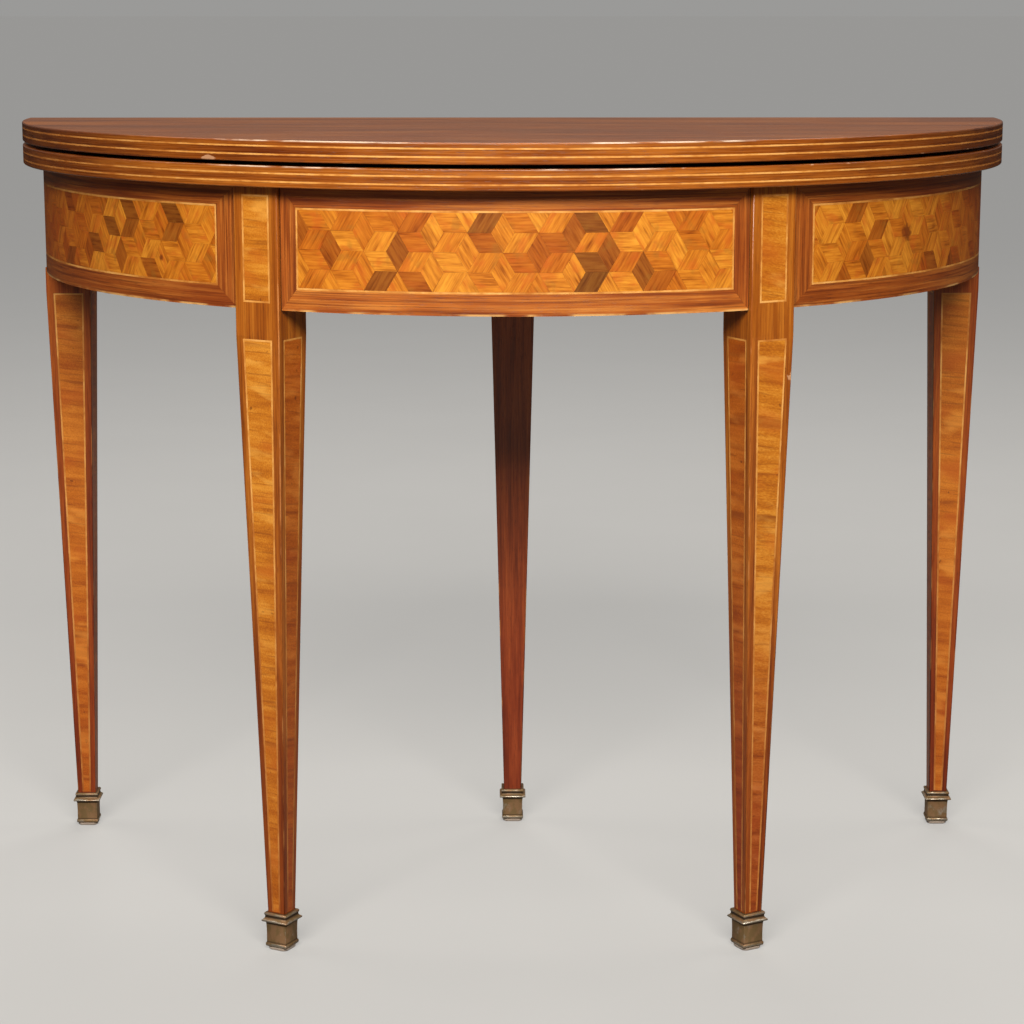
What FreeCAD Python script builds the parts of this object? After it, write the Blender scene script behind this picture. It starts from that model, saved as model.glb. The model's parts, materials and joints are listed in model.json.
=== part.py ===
"""Half-round fold-over games table with an inlaid frieze and a fifth leg on a sliding drawer.

+Z is up and the curved front faces -Y. The origin is on the floor, under the middle of the table's box.
The upper leaf turns over about the straight back edge, and the fifth leg slides out backwards to carry it.
"""
import FreeCAD, Part
import Sketcher
import math
import os

doc = FreeCAD.newDocument("demilune_games_table")

# Driving dimensions in millimetres, with angles in degrees
SIZES = (
    ("leaf_radius", "515", "half-round leaf, hinge line to front"),
    ("leaf_thick", "19.4", "thickness of each leaf"),
    ("leaf_gap", "3.6", "space between the closed leaves"),
    ("leaf_arris", "1.4", "rounding of a leaf's curved edge"),
    ("edge_string_width", "1.5", "stringing in the edge of a leaf"),
    ("edge_string_depth", "1.2", "depth of that stringing"),
    ("edge_string_pitch", "7.4", "spacing of the two lines in a leaf's edge"),
    ("upper_string_drop", "5.4", "first line below the top of the upper leaf"),
    ("lower_string_drop", "6.6", "first line below the top of the lower leaf"),
    ("overhang", "20", "leaf beyond the face of the frieze"),
    ("under_frieze", "620.5", "floor to the underside of the frieze"),
    ("frieze_height", "112.5", "height of the frieze"),
    ("rail_thick", "20", "core of a curved or straight rail"),
    ("veneer_thick", "1.2", "veneer on the frieze"),
    ("string_width", "1.7", "stringing of the frieze, the stiles and the legs"),
    ("field_rise", "19.8", "border under a frieze panel"),
    ("field_drop", "18.6", "border over a frieze panel"),
    ("centre_end_border", "16.5", "border at the ends of the centre panel"),
    ("side_end_border", "23", "border of a side panel beside the stile"),
    ("back_end_border", "20", "border of a side panel at the back corner"),
    ("leg_width", "47", "leg at its top, square"),
    ("leg_toe_width", "19.2", "leg where it meets the shoe"),
    ("taper_drop", "25", "start of the taper below the frieze"),
    ("front_leg_angle", "28.2", "front leg from the middle of the front"),
    ("stile_proud", "3.6", "front stile beyond the face of the frieze"),
    ("corner_leg_inset", "0", "outer face of a corner leg inside the frieze"),
    ("back_gap", "4", "back of the frame in front of the hinge line"),
    ("fifth_leg_inset", "16", "axis of the fifth leg in front of the hinge line"),
    ("inlay_depth", "1", "depth of the inlay in legs and stiles"),
    ("panel_top_margin", "2.5", "leg panel below the start of the taper"),
    ("panel_toe_margin", "1", "leg panel above the shoe"),
    ("panel_side_margin", "7.6", "border of a leg panel at its top"),
    ("panel_toe_side_margin", "5", "border of a leg panel at its toe"),
    ("stile_panel_rise", "6.5", "stile panel above the underside of the frieze"),
    ("stile_panel_drop", "8", "stile panel below the top of the frieze"),
    ("stile_panel_margin", "9", "border at the sides of a stile panel"),
    ("tenon_length", "14", "tenon of a rail in a leg"),
    ("tenon_thick", "8", "thickness of a tenon"),
    ("tenon_shoulder", "12", "shoulder over and under a tenon"),
    ("pad_thick", "3.5", "felt pad under a shoe"),
    ("pad_width", "21.2", "felt pad across its flats"),
    ("pad_radius", "12.8", "felt pad from its middle to its rounded corners"),
    ("shoe_height", "34", "height of a shoe"),
    ("shoe_base_width", "22.4", "shoe at its base bead, without its bulge"),
    ("shoe_body_width", "21.6", "waist of a shoe"),
    ("shoe_neck_width", "22", "shoe under its collar"),
    ("shoe_collar_width", "27.7", "collar of a shoe, without its bulge"),
    ("shoe_lip_width", "24.2", "lip at the top of a shoe"),
    ("shoe_bead_height", "3.6", "base bead"),
    ("shoe_neck_height", "22.6", "base to the cove"),
    ("shoe_cove_height", "25", "base to the underside of the collar"),
    ("shoe_collar_height", "27.2", "base to the top of the collar"),
    ("shoe_lip_height", "29.4", "base to the foot of the lip"),
    ("shoe_bead_round", "3.6", "rounding of the base bead"),
    ("shoe_body_round", "150", "hollow of the body"),
    ("shoe_cove_round", "3.2", "hollow of the cove"),
    ("shoe_collar_round", "1.3", "rounding of the collar"),
    ("shoe_lip_round", "3", "hollow between the collar and the lip"),
    ("toe_width", "13", "spigot of a leg in its shoe"),
    ("toe_length", "24", "length of that spigot"),
    ("drawer_leg_room", "74.5", "drawer side from the axis of a front leg"),
    ("drawer_front_room", "45.4", "drawer side from the curved rail in front of it"),
    ("drawer_side_thick", "12", "drawer side and inner end"),
    ("drawer_side_height", "60", "height of a drawer side"),
    ("drawer_bottom_thick", "6", "drawer bottom"),
    ("drawer_bottom_rise", "5", "drawer bottom above the lower edge of the sides"),
    ("drawer_groove", "4", "groove of the drawer bottom"),
    ("slide_gap", "0.3", "running clearance of the drawer"),
    ("leaf_rest_gap", "0.5", "top of the fifth leg below the top of the frame"),
    ("slide_hold", "80", "drawer left in its guides at full travel"),
    ("guide_thick", "22", "web of a drawer guide"),
    ("runner_width", "14", "ledge under a drawer side"),
    ("runner_height", "12", "height of that ledge"),
    ("pin_radius", "4", "stop pin of the drawer"),
    ("pin_reach", "8", "stop pin beyond the drawer side"),
    ("pin_inset", "20", "stop pin from the inner end of the drawer"),
    ("bearer_width", "45", "bearer under the guides"),
    ("bearer_height", "14", "height of that bearer"),
    ("bearer_place", "190", "bearer in front of the hinge line"),
    ("block_size", "24", "glue block, square"),
    ("block_height", "70", "height of a glue block"),
    ("top_screw_radius", "2.4", "screw that holds the lower leaf"),
    ("top_screw_head_radius", "4.6", "head of that screw"),
    ("top_screw_head", "3.5", "height of that head"),
    ("top_screw_bite", "13", "screw in the lower leaf"),
    ("top_screw_seat", "24", "head below the top of the frame"),
    ("top_screw_inset", "70", "screw from either end of a guide"),
    ("top_screw_edge", "7.5", "screw from the outer face of a guide"),
    ("hinge_end_room", "215", "hinge from the end of the hinge line"),
    ("hinge_length", "60", "length of a hinge"),
    ("hinge_height", "16", "hinge plate beyond its axis"),
    ("hinge_thick", "1.6", "hinge plate"),
    ("hinge_offset", "0.15", "hinge axis behind the edge of the leaves"),
    ("knuckle_radius", "3.2", "hinge knuckle"),
    ("knuckle_gap", "0.4", "clearance round and beside a knuckle"),
    ("hinge_pin_radius", "1.5", "hinge pin"),
    ("hinge_pin_play", "0.05", "running clearance of the pin"),
    ("hinge_screw_radius", "1.4", "screw of a hinge plate"),
    ("hinge_screw_head_radius", "2.8", "head of that screw"),
    ("hinge_screw_head", "1.5", "height of that head"),
    ("hinge_screw_length", "12", "length of that screw"),
    ("hinge_screw_spacing", "22", "spacing of the screws in a plate"),
    ("hinge_screw_drop", "11", "screws from the hinge axis"),
    ("baize_thick", "1.65", "baize on a leaf"),
    ("baize_border", "52", "bare border round the baize"),
    ("baize_back_border", "12", "bare border at the hinge line"),
    ("overrun", "10", "how far a cutting tool runs past what it cuts"),
)

sheet = doc.addObject("Spreadsheet::Sheet", "Sizes")
for row, (alias, value, note) in enumerate(SIZES, start=1):
    sheet.set(f"A{row}", note)
    sheet.set(f"B{row}", value)
    sheet.setAlias(f"B{row}", alias)
doc.recompute()


class SizeNames:
    """Spells a cell of the sheet as it is written in an expression."""

    def __getattr__(self, alias):
        return f"Sizes.{alias}"


s = SizeNames()
subparts = []


def number(expression):
    return float(sheet.evalExpression(expression))


# Heights and plan lines worked out from the sheet
shoe_top = f"({s.pad_thick} + {s.shoe_height})"
taper_top = f"({s.under_frieze} - {s.taper_drop})"
frame_top = f"({s.under_frieze} + {s.frieze_height})"
lower_top = f"({frame_top} + {s.leaf_thick})"
upper_base = f"({lower_top} + {s.leaf_gap})"
hinge_level = f"({lower_top} + {s.leaf_gap} / 2)"
fifth_leg_proud = f"({s.leg_width} / 2 - {s.fifth_leg_inset})"
hinge_line = f"(({s.leaf_radius} - {fifth_leg_proud}) / 2)"
hinge_axis = f"({hinge_line} + {s.hinge_offset})"
frame_back = f"({hinge_line} - {s.back_gap})"
corner_front = f"({frame_back} - {s.leg_width})"
rail_front = f"({frame_back} - {s.rail_thick})"
frieze_radius = f"({s.leaf_radius} - {s.overhang})"
core_radius = f"({frieze_radius} - {s.veneer_thick})"
rail_radius = f"({core_radius} - {s.rail_thick})"
tenon_outer = f"({core_radius} - ({s.rail_thick} - {s.tenon_thick}) / 2)"
tenon_inner = f"({tenon_outer} - {s.tenon_thick})"
tenon_base = f"({s.under_frieze} + {s.tenon_shoulder})"
tenon_height = f"({s.frieze_height} - 2 * {s.tenon_shoulder})"
front_leg_radius = f"({frieze_radius} + {s.stile_proud} - {s.leg_width} / 2)"
corner_inner = f"({frieze_radius} - {s.corner_leg_inset} - {s.leg_width})"
corner_axis_x = f"({corner_inner} + {s.leg_width} / 2)"
drawer_half = f"({front_leg_radius} * sin({s.front_leg_angle}) - {s.drawer_leg_room})"
drawer_end = f"({hinge_line} - sqrt({rail_radius}^2 - {drawer_half}^2) + {s.drawer_front_room})"
drawer_length = f"({rail_front} - {drawer_end})"
slide_travel = f"({drawer_length} - {s.slide_hold})"
opening_half = f"({drawer_half} + {s.slide_gap})"
drawer_top = f"({frame_top} - {s.leaf_rest_gap})"
drawer_base = f"({drawer_top} - {s.drawer_side_height})"
runner_top = f"({drawer_base} - {s.slide_gap})"
guide_base = f"({runner_top} - {s.runner_height})"
slot_half = f"({s.pin_radius} + {s.slide_gap})"
pin_height = f"({drawer_base} + {s.drawer_side_height} / 2)"
pin_place = f"({drawer_end} + {s.pin_inset})"


def arc_degrees(length, radius):
    return f"(({length}) / ({radius}) * 180 / pi)"


def leg_half(height):
    """Half the width of the tapered leg at a height above the floor."""
    rise = f"(({height}) - {shoe_top}) / ({taper_top} - {shoe_top})"
    return f"({s.leg_toe_width} / 2 + ({s.leg_width} - {s.leg_toe_width}) / 2 * {rise})"


def bind(obj, **expressions):
    for prop, expression in expressions.items():
        obj.setExpression(prop, expression)
    return obj


def place(obj, x="0", y="0", z="0", turn="0"):
    """Binds a placement, with any turn about Z."""
    for path, expression in (("Base.x", x), ("Base.y", y), ("Base.z", z), ("Rotation.Angle", turn)):
        if expression != "0":
            obj.setExpression(f"Placement.{path}", expression)
    return obj


def lean(obj, yaw, roll):
    """Turns an object from its own axes before its place is bound."""
    obj.Placement = FreeCAD.Placement(FreeCAD.Vector(), FreeCAD.Rotation(yaw, 0, roll))
    return obj


def subpart(obj, label):
    obj.Label = label
    subparts.append(obj)
    return obj


def box(name, x0, x1, y0, y1, z0, z1):
    piece = doc.addObject("Part::Box", name)
    bind(piece, Length=f"({x1}) - ({x0})", Width=f"({y1}) - ({y0})", Height=f"({z1}) - ({z0})")
    return place(piece, x0, y0, z0)


def cylinder(name, radius, height, x="0", y="0", z="0"):
    piece = doc.addObject("Part::Cylinder", name)
    bind(piece, Radius=radius, Height=height)
    return place(piece, x, y, z)


def rod(name, radius, x0, x1, y, z):
    """A cylinder along X."""
    piece = lean(doc.addObject("Part::Cylinder", name), 90, 90)
    bind(piece, Radius=radius, Height=f"({x1}) - ({x0})")
    return place(piece, x0, y, z)


def cut(name, base, tool):
    piece = doc.addObject("Part::Cut", name)
    piece.Base = base
    piece.Tool = tool
    return piece


def common(name, first, second):
    piece = doc.addObject("Part::Common", name)
    piece.Base = first
    piece.Tool = second
    return piece


def fuse(name, *pieces):
    piece = doc.addObject("Part::MultiFuse", name)
    piece.Shapes = list(pieces)
    return piece


def group(name, *pieces):
    piece = doc.addObject("Part::Compound", name)
    piece.Links = list(pieces)
    return piece


def sector(name, radius, z0, z1, start, end):
    """A slice of a disc about the hinge line's middle, its angles counted from the front."""
    piece = cylinder(name, radius, f"({z1}) - ({z0})", "0", hinge_line, z0)
    bind(piece, Angle=f"({end}) - ({start})")
    return place(piece, turn=f"({start}) - 90")


def ring(name, outer, inner, z0, z1, start, end):
    hole = cylinder(f"{name}_hole", inner, f"({z1}) - ({z0}) + 2 * {s.overrun}", "0", hinge_line,
                    f"({z0}) - {s.overrun}")
    return cut(name, sector(f"{name}_disc", outer, z0, z1, start, end), hole)


def outline(sketch, corners):
    """Draws a closed outline whose corners are pairs of expressions.

    A third entry makes the edge that leaves the corner an arc of that radius, and a fourth is +1 where the
    arc swells to the right of its direction or -1 where it swells to the left.
    """
    points = [FreeCAD.Vector(number(corner[0]), number(corner[1]), 0) for corner in corners]
    ends = []
    for index, corner in enumerate(corners):
        first = points[index]
        last = points[(index + 1) % len(points)]
        swell = corner[3] if len(corner) > 2 else 1
        ends.append((1, 2) if swell > 0 else (2, 1))
        if len(corner) == 2:
            sketch.addGeometry(Part.LineSegment(first, last))
            continue
        radius = number(corner[2])
        chord = last - first
        sagitta = radius - math.sqrt(radius ** 2 - chord.Length ** 2 / 4)
        side = FreeCAD.Vector(chord.y, -chord.x, 0).normalize()
        crown = (first + last) / 2 + side * sagitta * swell
        if swell < 0:
            first, last = last, first
        sketch.addGeometry(Part.Arc(first, crown, last))
    for index, corner in enumerate(corners):
        before = (index - 1) % len(corners)
        here = ends[index][0]
        sketch.addConstraint(Sketcher.Constraint("Coincident", before, ends[before][1], index, here))
        for kind, axis, expression in (("DistanceX", -2, corner[0]), ("DistanceY", -1, corner[1])):
            if expression == "0":
                sketch.addConstraint(Sketcher.Constraint("PointOnObject", index, here, axis))
                continue
            datum = number(expression)
            row = sketch.addConstraint(Sketcher.Constraint(kind, -1, 1, index, here, datum))
            sketch.setExpression(f"Constraints[{row}]", expression)
        if len(corner) > 2:
            row = sketch.addConstraint(Sketcher.Constraint("Radius", index, number(corner[2])))
            sketch.setExpression(f"Constraints[{row}]", corner[2])


def wedge(name, z0, z1, half0, half1, near0, near1, far0, far1, yaw):
    """An upright tapered block: its half widths and its near and far faces at the base and at the top."""
    piece = lean(doc.addObject("Part::Wedge", name), yaw, 90)
    bind(piece, Ymin=z0, Ymax=z1, Xmin=f"-({half0})", Xmax=half0, X2min=f"-({half1})", X2max=half1)
    return bind(piece, Zmin=near0, Zmax=far0, Z2min=near1, Z2max=far1)


def twin(source, name):
    piece = doc.addObject("Part::Mirroring", name)
    piece.Source = source
    piece.Normal = FreeCAD.Vector(1, 0, 0)
    return piece


def right_of(source, label):
    """The right-hand twin of a left-hand sub-part."""
    return subpart(twin(source, label), label)


# Plan places of the legs
front_leg_x = f"(-{front_leg_radius} * sin({s.front_leg_angle}))"
front_leg_y = f"({hinge_line} - {front_leg_radius} * cos({s.front_leg_angle}))"
corner_leg_x = f"(-{corner_axis_x})"
corner_leg_y = f"({frame_back} - {s.leg_width} / 2)"
fifth_leg_y = f"({hinge_line} - {s.fifth_leg_inset})"


def at_front_leg(piece):
    return place(piece, front_leg_x, front_leg_y, "0", f"-{s.front_leg_angle}")


def at_corner_leg(piece):
    return place(piece, corner_leg_x, corner_leg_y)


def at_fifth_leg(piece):
    return place(piece, "0", fifth_leg_y)


# Hinges
def hinge_centres():
    reach = f"({s.leaf_radius} - {s.hinge_end_room})"
    return (("left", f"(-{reach})"), ("right", reach))


def hinge_span(centre):
    return f"({centre} - {s.hinge_length} / 2)", f"({centre} + {s.hinge_length} / 2)"


def knuckle_spans(centre):
    """Two outer knuckles for the lower plate and the middle one for the upper plate."""
    first, last = hinge_span(centre)
    third = f"{s.hinge_length} / 3"
    half_gap = f"{s.knuckle_gap} / 2"
    outer = ((first, f"({first} + {third} - {half_gap})"), (f"({last} - {third} + {half_gap})", last))
    middle = ((f"({first} + {third} + {half_gap})", f"({last} - {third} - {half_gap})"),)
    return outer, middle


def hinge_plate(name, centre, spans, sign, hole_radius):
    """A plate let into the edge of a leaf, below the axis for sign -1 or above it for +1."""
    first, last = hinge_span(centre)
    inner_face = f"({hinge_line} - {s.hinge_thick})"
    far = f"({hinge_level} + {sign} * {s.hinge_height})"
    near = f"({hinge_level} + {sign} * ({s.knuckle_radius} + {s.knuckle_gap}))"
    low, high = (far, near) if sign < 0 else (near, far)
    pieces = [box(f"{name}_flap", first, last, inner_face, hinge_line, low, high)]
    for index, (begin, end) in enumerate(spans):
        low, high = (far, hinge_level) if sign < 0 else (hinge_level, far)
        pieces.append(box(f"{name}_web{index}", begin, end, inner_face, hinge_line, low, high))
        pieces.append(rod(f"{name}_knuckle{index}", s.knuckle_radius, begin, end, hinge_axis, hinge_level))
    bore = rod(f"{name}_bore", hole_radius, f"({first} - {s.overrun})", f"({last} + {s.overrun})",
               hinge_axis, hinge_level)
    return cut(name, fuse(f"{name}_blank", *pieces), bore)


def hinge_screws(name, centre, sign):
    height = f"({hinge_level} + {sign} * {s.hinge_screw_drop})"
    screws = []
    for step in (-1, 0, 1):
        x = f"({centre} + {step} * {s.hinge_screw_spacing})"
        tag = f"{name}_{step + 1}"
        head = lean(doc.addObject("Part::Cone", f"{tag}_head"), 0, 90)
        bind(head, Radius1=s.hinge_screw_head_radius, Radius2=s.hinge_screw_radius, Height=s.hinge_screw_head)
        place(head, x, hinge_line, height)
        shank = lean(doc.addObject("Part::Cylinder", f"{tag}_shank"), 0, 90)
        bind(shank, Radius=s.hinge_screw_radius, Height=s.hinge_screw_length)
        place(shank, x, hinge_line, height)
        screws.append(fuse(tag, head, shank))
    return screws


def hinge_recess(name, centre, sign):
    """Room in a leaf for a plate, and for the knuckles of both plates."""
    first, last = hinge_span(centre)
    far = f"({hinge_level} + {sign} * {s.hinge_height})"
    near = f"({hinge_level} - {sign} * {s.overrun})"
    low, high = (far, near) if sign < 0 else (near, far)
    bed = box(f"{name}_bed", first, last, f"({hinge_line} - {s.hinge_thick})", f"({hinge_line} + {s.overrun})",
              low, high)
    round_room = rod(f"{name}_round", f"({s.knuckle_radius} + {s.knuckle_gap})", f"({first} - {s.knuckle_gap})",
                     f"({last} + {s.knuckle_gap})", hinge_axis, hinge_level)
    return [bed, round_room]


lower_plates, upper_plates, hinge_pins = [], [], []
lower_screws, upper_screws, lower_recess, upper_recess = [], [], [], []
for side, centre in hinge_centres():
    outer_spans, middle_span = knuckle_spans(centre)
    loose = f"({s.hinge_pin_radius} + {s.hinge_pin_play})"
    lower_plate = hinge_plate(f"lower_plate_{side}", centre, outer_spans, -1, s.hinge_pin_radius)
    upper_plate = hinge_plate(f"upper_plate_{side}", centre, middle_span, 1, loose)
    low_screws = hinge_screws(f"lower_screw_{side}", centre, -1)
    high_screws = hinge_screws(f"upper_screw_{side}", centre, 1)
    lower_plates.append(cut(f"lower_plate_{side}_bored", lower_plate, group(f"low_set_{side}", *low_screws)))
    upper_plates.append(cut(f"upper_plate_{side}_bored", upper_plate, group(f"high_set_{side}", *high_screws)))
    hinge_pins.append(rod(f"hinge_pin_{side}", s.hinge_pin_radius, *hinge_span(centre), hinge_axis, hinge_level))
    lower_screws += low_screws
    upper_screws += high_screws
    lower_recess += hinge_recess(f"lower_recess_{side}", centre, -1)
    upper_recess += hinge_recess(f"upper_recess_{side}", centre, 1)

subpart(group("lower_hinge_set", *lower_plates), "lower_hinge_plates")
subpart(group("upper_hinge_set", *upper_plates), "upper_hinge_plates")
subpart(group("hinge_pin_set", *hinge_pins), "hinge_pins")
lower_screw_set = subpart(group("lower_screw_set", *lower_screws), "lower_hinge_screws")
upper_screw_set = subpart(group("upper_screw_set", *upper_screws), "upper_hinge_screws")

# Screws that hold the lower leaf, driven up through the drawer guides
top_screw_x = f"(-({opening_half} + {s.guide_thick} - {s.top_screw_edge}))"
top_screw_level = f"({frame_top} - {s.top_screw_seat})"
screw_rows = (f"({rail_front} - {s.top_screw_inset})", f"({drawer_end} + {s.top_screw_inset})")
left_top_screws = []
guide_holes = []
for row, y in enumerate(screw_rows):
    shank_length = f"({s.top_screw_seat} + {s.top_screw_bite})"
    shank = cylinder(f"top_shank{row}", s.top_screw_radius, shank_length, top_screw_x, y, top_screw_level)
    head = cylinder(f"top_head{row}", s.top_screw_head_radius, s.top_screw_head, top_screw_x, y,
                    f"({top_screw_level} - {s.top_screw_head})")
    left_top_screws.append(fuse(f"top_screw{row}", shank, head))
    sink_base = f"({guide_base} - {s.overrun})"
    sink = cylinder(f"top_sink{row}", s.top_screw_head_radius, f"({top_screw_level} - {sink_base})", top_screw_x,
                    y, sink_base)
    guide_holes += [shank, sink]
right_top_screws = [twin(screw, f"{screw.Name}_right") for screw in left_top_screws]
top_screw_set = subpart(group("top_screw_set", *left_top_screws, *right_top_screws), "top_screws")


# Leaves, their edge stringing and their baize
def leaf_blank(name, base, drop):
    """A half-round leaf with two grooves in its edge, turned from its section about the hinge line's middle."""
    body = doc.addObject("PartDesign::Body", f"{name}_blank")
    section = body.newObject("Sketcher::SketchObject", f"{name}_section")
    upright = [feature for feature in body.Origin.OriginFeatures if feature.Role == "XZ_Plane"][0]
    section.AttachmentSupport = [(upright, "")]
    section.MapMode = "FlatFace"
    rim = s.leaf_radius
    bed = f"({rim} - {s.edge_string_depth})"
    shoulder = f"({rim} - {s.leaf_arris})"
    corners = [("0", "0"), (shoulder, "0", s.leaf_arris, 1), (rim, s.leaf_arris)]
    for centre in (f"{s.leaf_thick} - {drop} - {s.edge_string_pitch}", f"{s.leaf_thick} - {drop}"):
        low = f"({centre} - {s.edge_string_width} / 2)"
        high = f"({centre} + {s.edge_string_width} / 2)"
        corners += [(rim, low), (bed, low), (bed, high), (rim, high)]
    corners += [(rim, f"({s.leaf_thick} - {s.leaf_arris})", s.leaf_arris, 1), (shoulder, s.leaf_thick)]
    outline(section, corners + [("0", s.leaf_thick)])
    doc.recompute()
    turned = body.newObject("PartDesign::Revolution", f"{name}_turned")
    turned.Profile = section
    turned.ReferenceAxis = (section, ["V_Axis"])
    turned.Angle = 180
    turned.Reversed = True
    return place(body, "0", hinge_line, base)


def leaf_stringing(name, base, drop):
    lines = []
    for row, centre in enumerate((f"{drop}", f"({drop} + {s.edge_string_pitch})")):
        low = f"({base} + {s.leaf_thick} - {centre} - {s.edge_string_width} / 2)"
        lines.append(ring(f"{name}_line{row}", s.leaf_radius, f"({s.leaf_radius} - {s.edge_string_depth})", low,
                          f"({low} + {s.edge_string_width})", "-90", "90"))
    return subpart(group(f"{name}_set", *lines), name)


def baize(name, low):
    disc = sector(f"{name}_disc", f"({s.leaf_radius} - {s.baize_border})", low, f"({low} + {s.baize_thick})",
                  "-90", "90")
    strip = box(f"{name}_strip", f"-{s.leaf_radius}", s.leaf_radius, f"({hinge_line} - {s.baize_back_border})",
                f"({hinge_line} + {s.overrun})", f"({low} - {s.overrun})",
                f"({low} + {s.baize_thick} + {s.overrun})")
    return subpart(cut(f"{name}_cut", disc, strip), name)


lower_blank = leaf_blank("lower_leaf", frame_top, s.lower_string_drop)
upper_blank = leaf_blank("upper_leaf", upper_base, s.upper_string_drop)
lower_bedded = cut("lower_leaf_bedded", lower_blank, fuse("lower_leaf_beds", *lower_recess))
upper_bedded = cut("upper_leaf_bedded", upper_blank, fuse("upper_leaf_beds", *upper_recess))
lower_holed = cut("lower_leaf_holed", lower_bedded, lower_screw_set)
subpart(cut("lower_leaf_bored", lower_holed, top_screw_set), "lower_leaf")
subpart(cut("upper_leaf_bored", upper_bedded, upper_screw_set), "upper_leaf")
leaf_stringing("lower_leaf_stringing", frame_top, s.lower_string_drop)
leaf_stringing("upper_leaf_stringing", upper_base, s.upper_string_drop)
baize("lower_baize", lower_top)
baize("upper_baize", f"({upper_base} - {s.baize_thick})")

# Zones of the stiles and the corner legs, which the frieze stops at
past_base = f"({s.under_frieze} - {s.overrun})"
past_top = f"({frame_top} + {s.overrun})"
past_left = f"(-({frieze_radius} + {s.overrun}))"
past_back = f"({hinge_line} + {s.overrun})"


def stile_zone(name, half_width):
    reach = f"{s.leg_width} / 2"
    blank = box(f"{name}_box", f"-({half_width})", half_width, f"-({reach})", reach, past_base, past_top)
    return at_front_leg(group(name, blank))


stile_left = stile_zone("stile_zone", f"({s.leg_width} / 2)")
stile_core_left = stile_zone("stile_core", f"({s.leg_width} / 2 - {s.tenon_length})")
stile_right = twin(stile_left, "stile_zone_right")
stile_core_right = twin(stile_core_left, "stile_core_right")
corner_zone = box("corner_zone", past_left, "0", corner_front, past_back, past_base, past_top)
corner_core = box("corner_core", past_left, "0", f"({corner_front} + {s.tenon_length})", past_back, past_base,
                  past_top)
back_zone = box("back_zone", past_left, "0", frame_back, past_back, past_base, past_top)
stile_half_angle = f"(asin({s.leg_width} / 2 / {frieze_radius}) / 1 deg)"


def frieze_rail(label, start, end, zones, cores):
    """A curved core with a tenon at each end."""
    curve = ring(f"{label}_ring", core_radius, rail_radius, s.under_frieze, frame_top, start, end)
    body = cut(f"{label}_body", curve, fuse(f"{label}_zones", *zones))
    tongue = ring(f"{label}_tongue", tenon_outer, tenon_inner, tenon_base, f"({tenon_base} + {tenon_height})",
                  start, end)
    tenons = cut(f"{label}_tenons", tongue, fuse(f"{label}_cores", *cores))
    return subpart(fuse(f"{label}_joined", body, tenons), label)


def frieze_veneer(side, start, end, zones, window_start, window_end):
    """The banded border, the string line and the parquetry field of one length of frieze."""
    sill = f"({s.under_frieze} + {s.field_rise})"
    head = f"({frame_top} - {s.field_drop})"
    inset = arc_degrees(s.string_width, frieze_radius)
    inner = (f"({sill} + {s.string_width})", f"({head} - {s.string_width})", f"({window_start} + {inset})",
             f"({window_end} - {inset})")
    past = f"({frieze_radius} + {s.overrun})"
    skin = ring(f"{side}_skin", frieze_radius, core_radius, s.under_frieze, frame_top, start, end)
    trimmed = cut(f"{side}_skin_cut", skin, fuse(f"{side}_skin_zones", *zones))
    window = sector(f"{side}_window", past, sill, head, window_start, window_end)
    border = subpart(cut(f"{side}_border", trimmed, window), f"frieze_{side}_banding")
    strip = ring(f"{side}_strip", frieze_radius, core_radius, sill, head, window_start, window_end)
    opening = sector(f"{side}_opening", past, *inner)
    line = subpart(cut(f"{side}_line", strip, opening), f"frieze_{side}_stringing")
    field = subpart(ring(f"{side}_field", frieze_radius, core_radius, *inner), f"frieze_{side}_parquetry")
    return border, line, field


stile_angle = s.front_leg_angle
frieze_rail("frieze_centre_rail", f"(-{stile_angle})", stile_angle, (stile_left, stile_right),
            (stile_core_left, stile_core_right))
centre_reach = f"({stile_angle} - {stile_half_angle} - {arc_degrees(s.centre_end_border, frieze_radius)})"
frieze_veneer("centre", f"(-{stile_angle})", stile_angle, (stile_left, stile_right), f"(-{centre_reach})",
              centre_reach)

left_rail = frieze_rail("frieze_left_rail", "-90", f"(-{stile_angle})", (stile_left, corner_zone),
                        (stile_core_left, corner_core))
back_border = arc_degrees(f"{s.back_gap} + {s.back_end_border}", frieze_radius)
side_border = arc_degrees(s.side_end_border, frieze_radius)
left_veneers = frieze_veneer("left", "-90", f"(-{stile_angle})", (stile_left, back_zone),
                             f"(-90 + {back_border})", f"(-{stile_angle} - {stile_half_angle} - {side_border})")
right_of(left_rail, "frieze_right_rail")
for piece, name in zip(left_veneers, ("banding", "stringing", "parquetry")):
    right_of(piece, f"frieze_right_{name}")


# Legs
def leg_taper(name):
    base, top = leg_half(shoe_top), leg_half(taper_top)
    shaft = wedge(f"{name}_shaft", shoe_top, taper_top, base, top, f"-{base}", f"-{top}", base, top, 0)
    half = f"({s.toe_width} / 2)"
    toe = box(f"{name}_toe", f"-{half}", half, f"-{half}", half, f"({shoe_top} - {s.toe_length})", shoe_top)
    return [shaft, toe]


def leg_block(name, top):
    half = f"({s.leg_width} / 2)"
    return box(f"{name}_block", f"-{half}", half, f"-{half}", half, taper_top, top)


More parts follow.
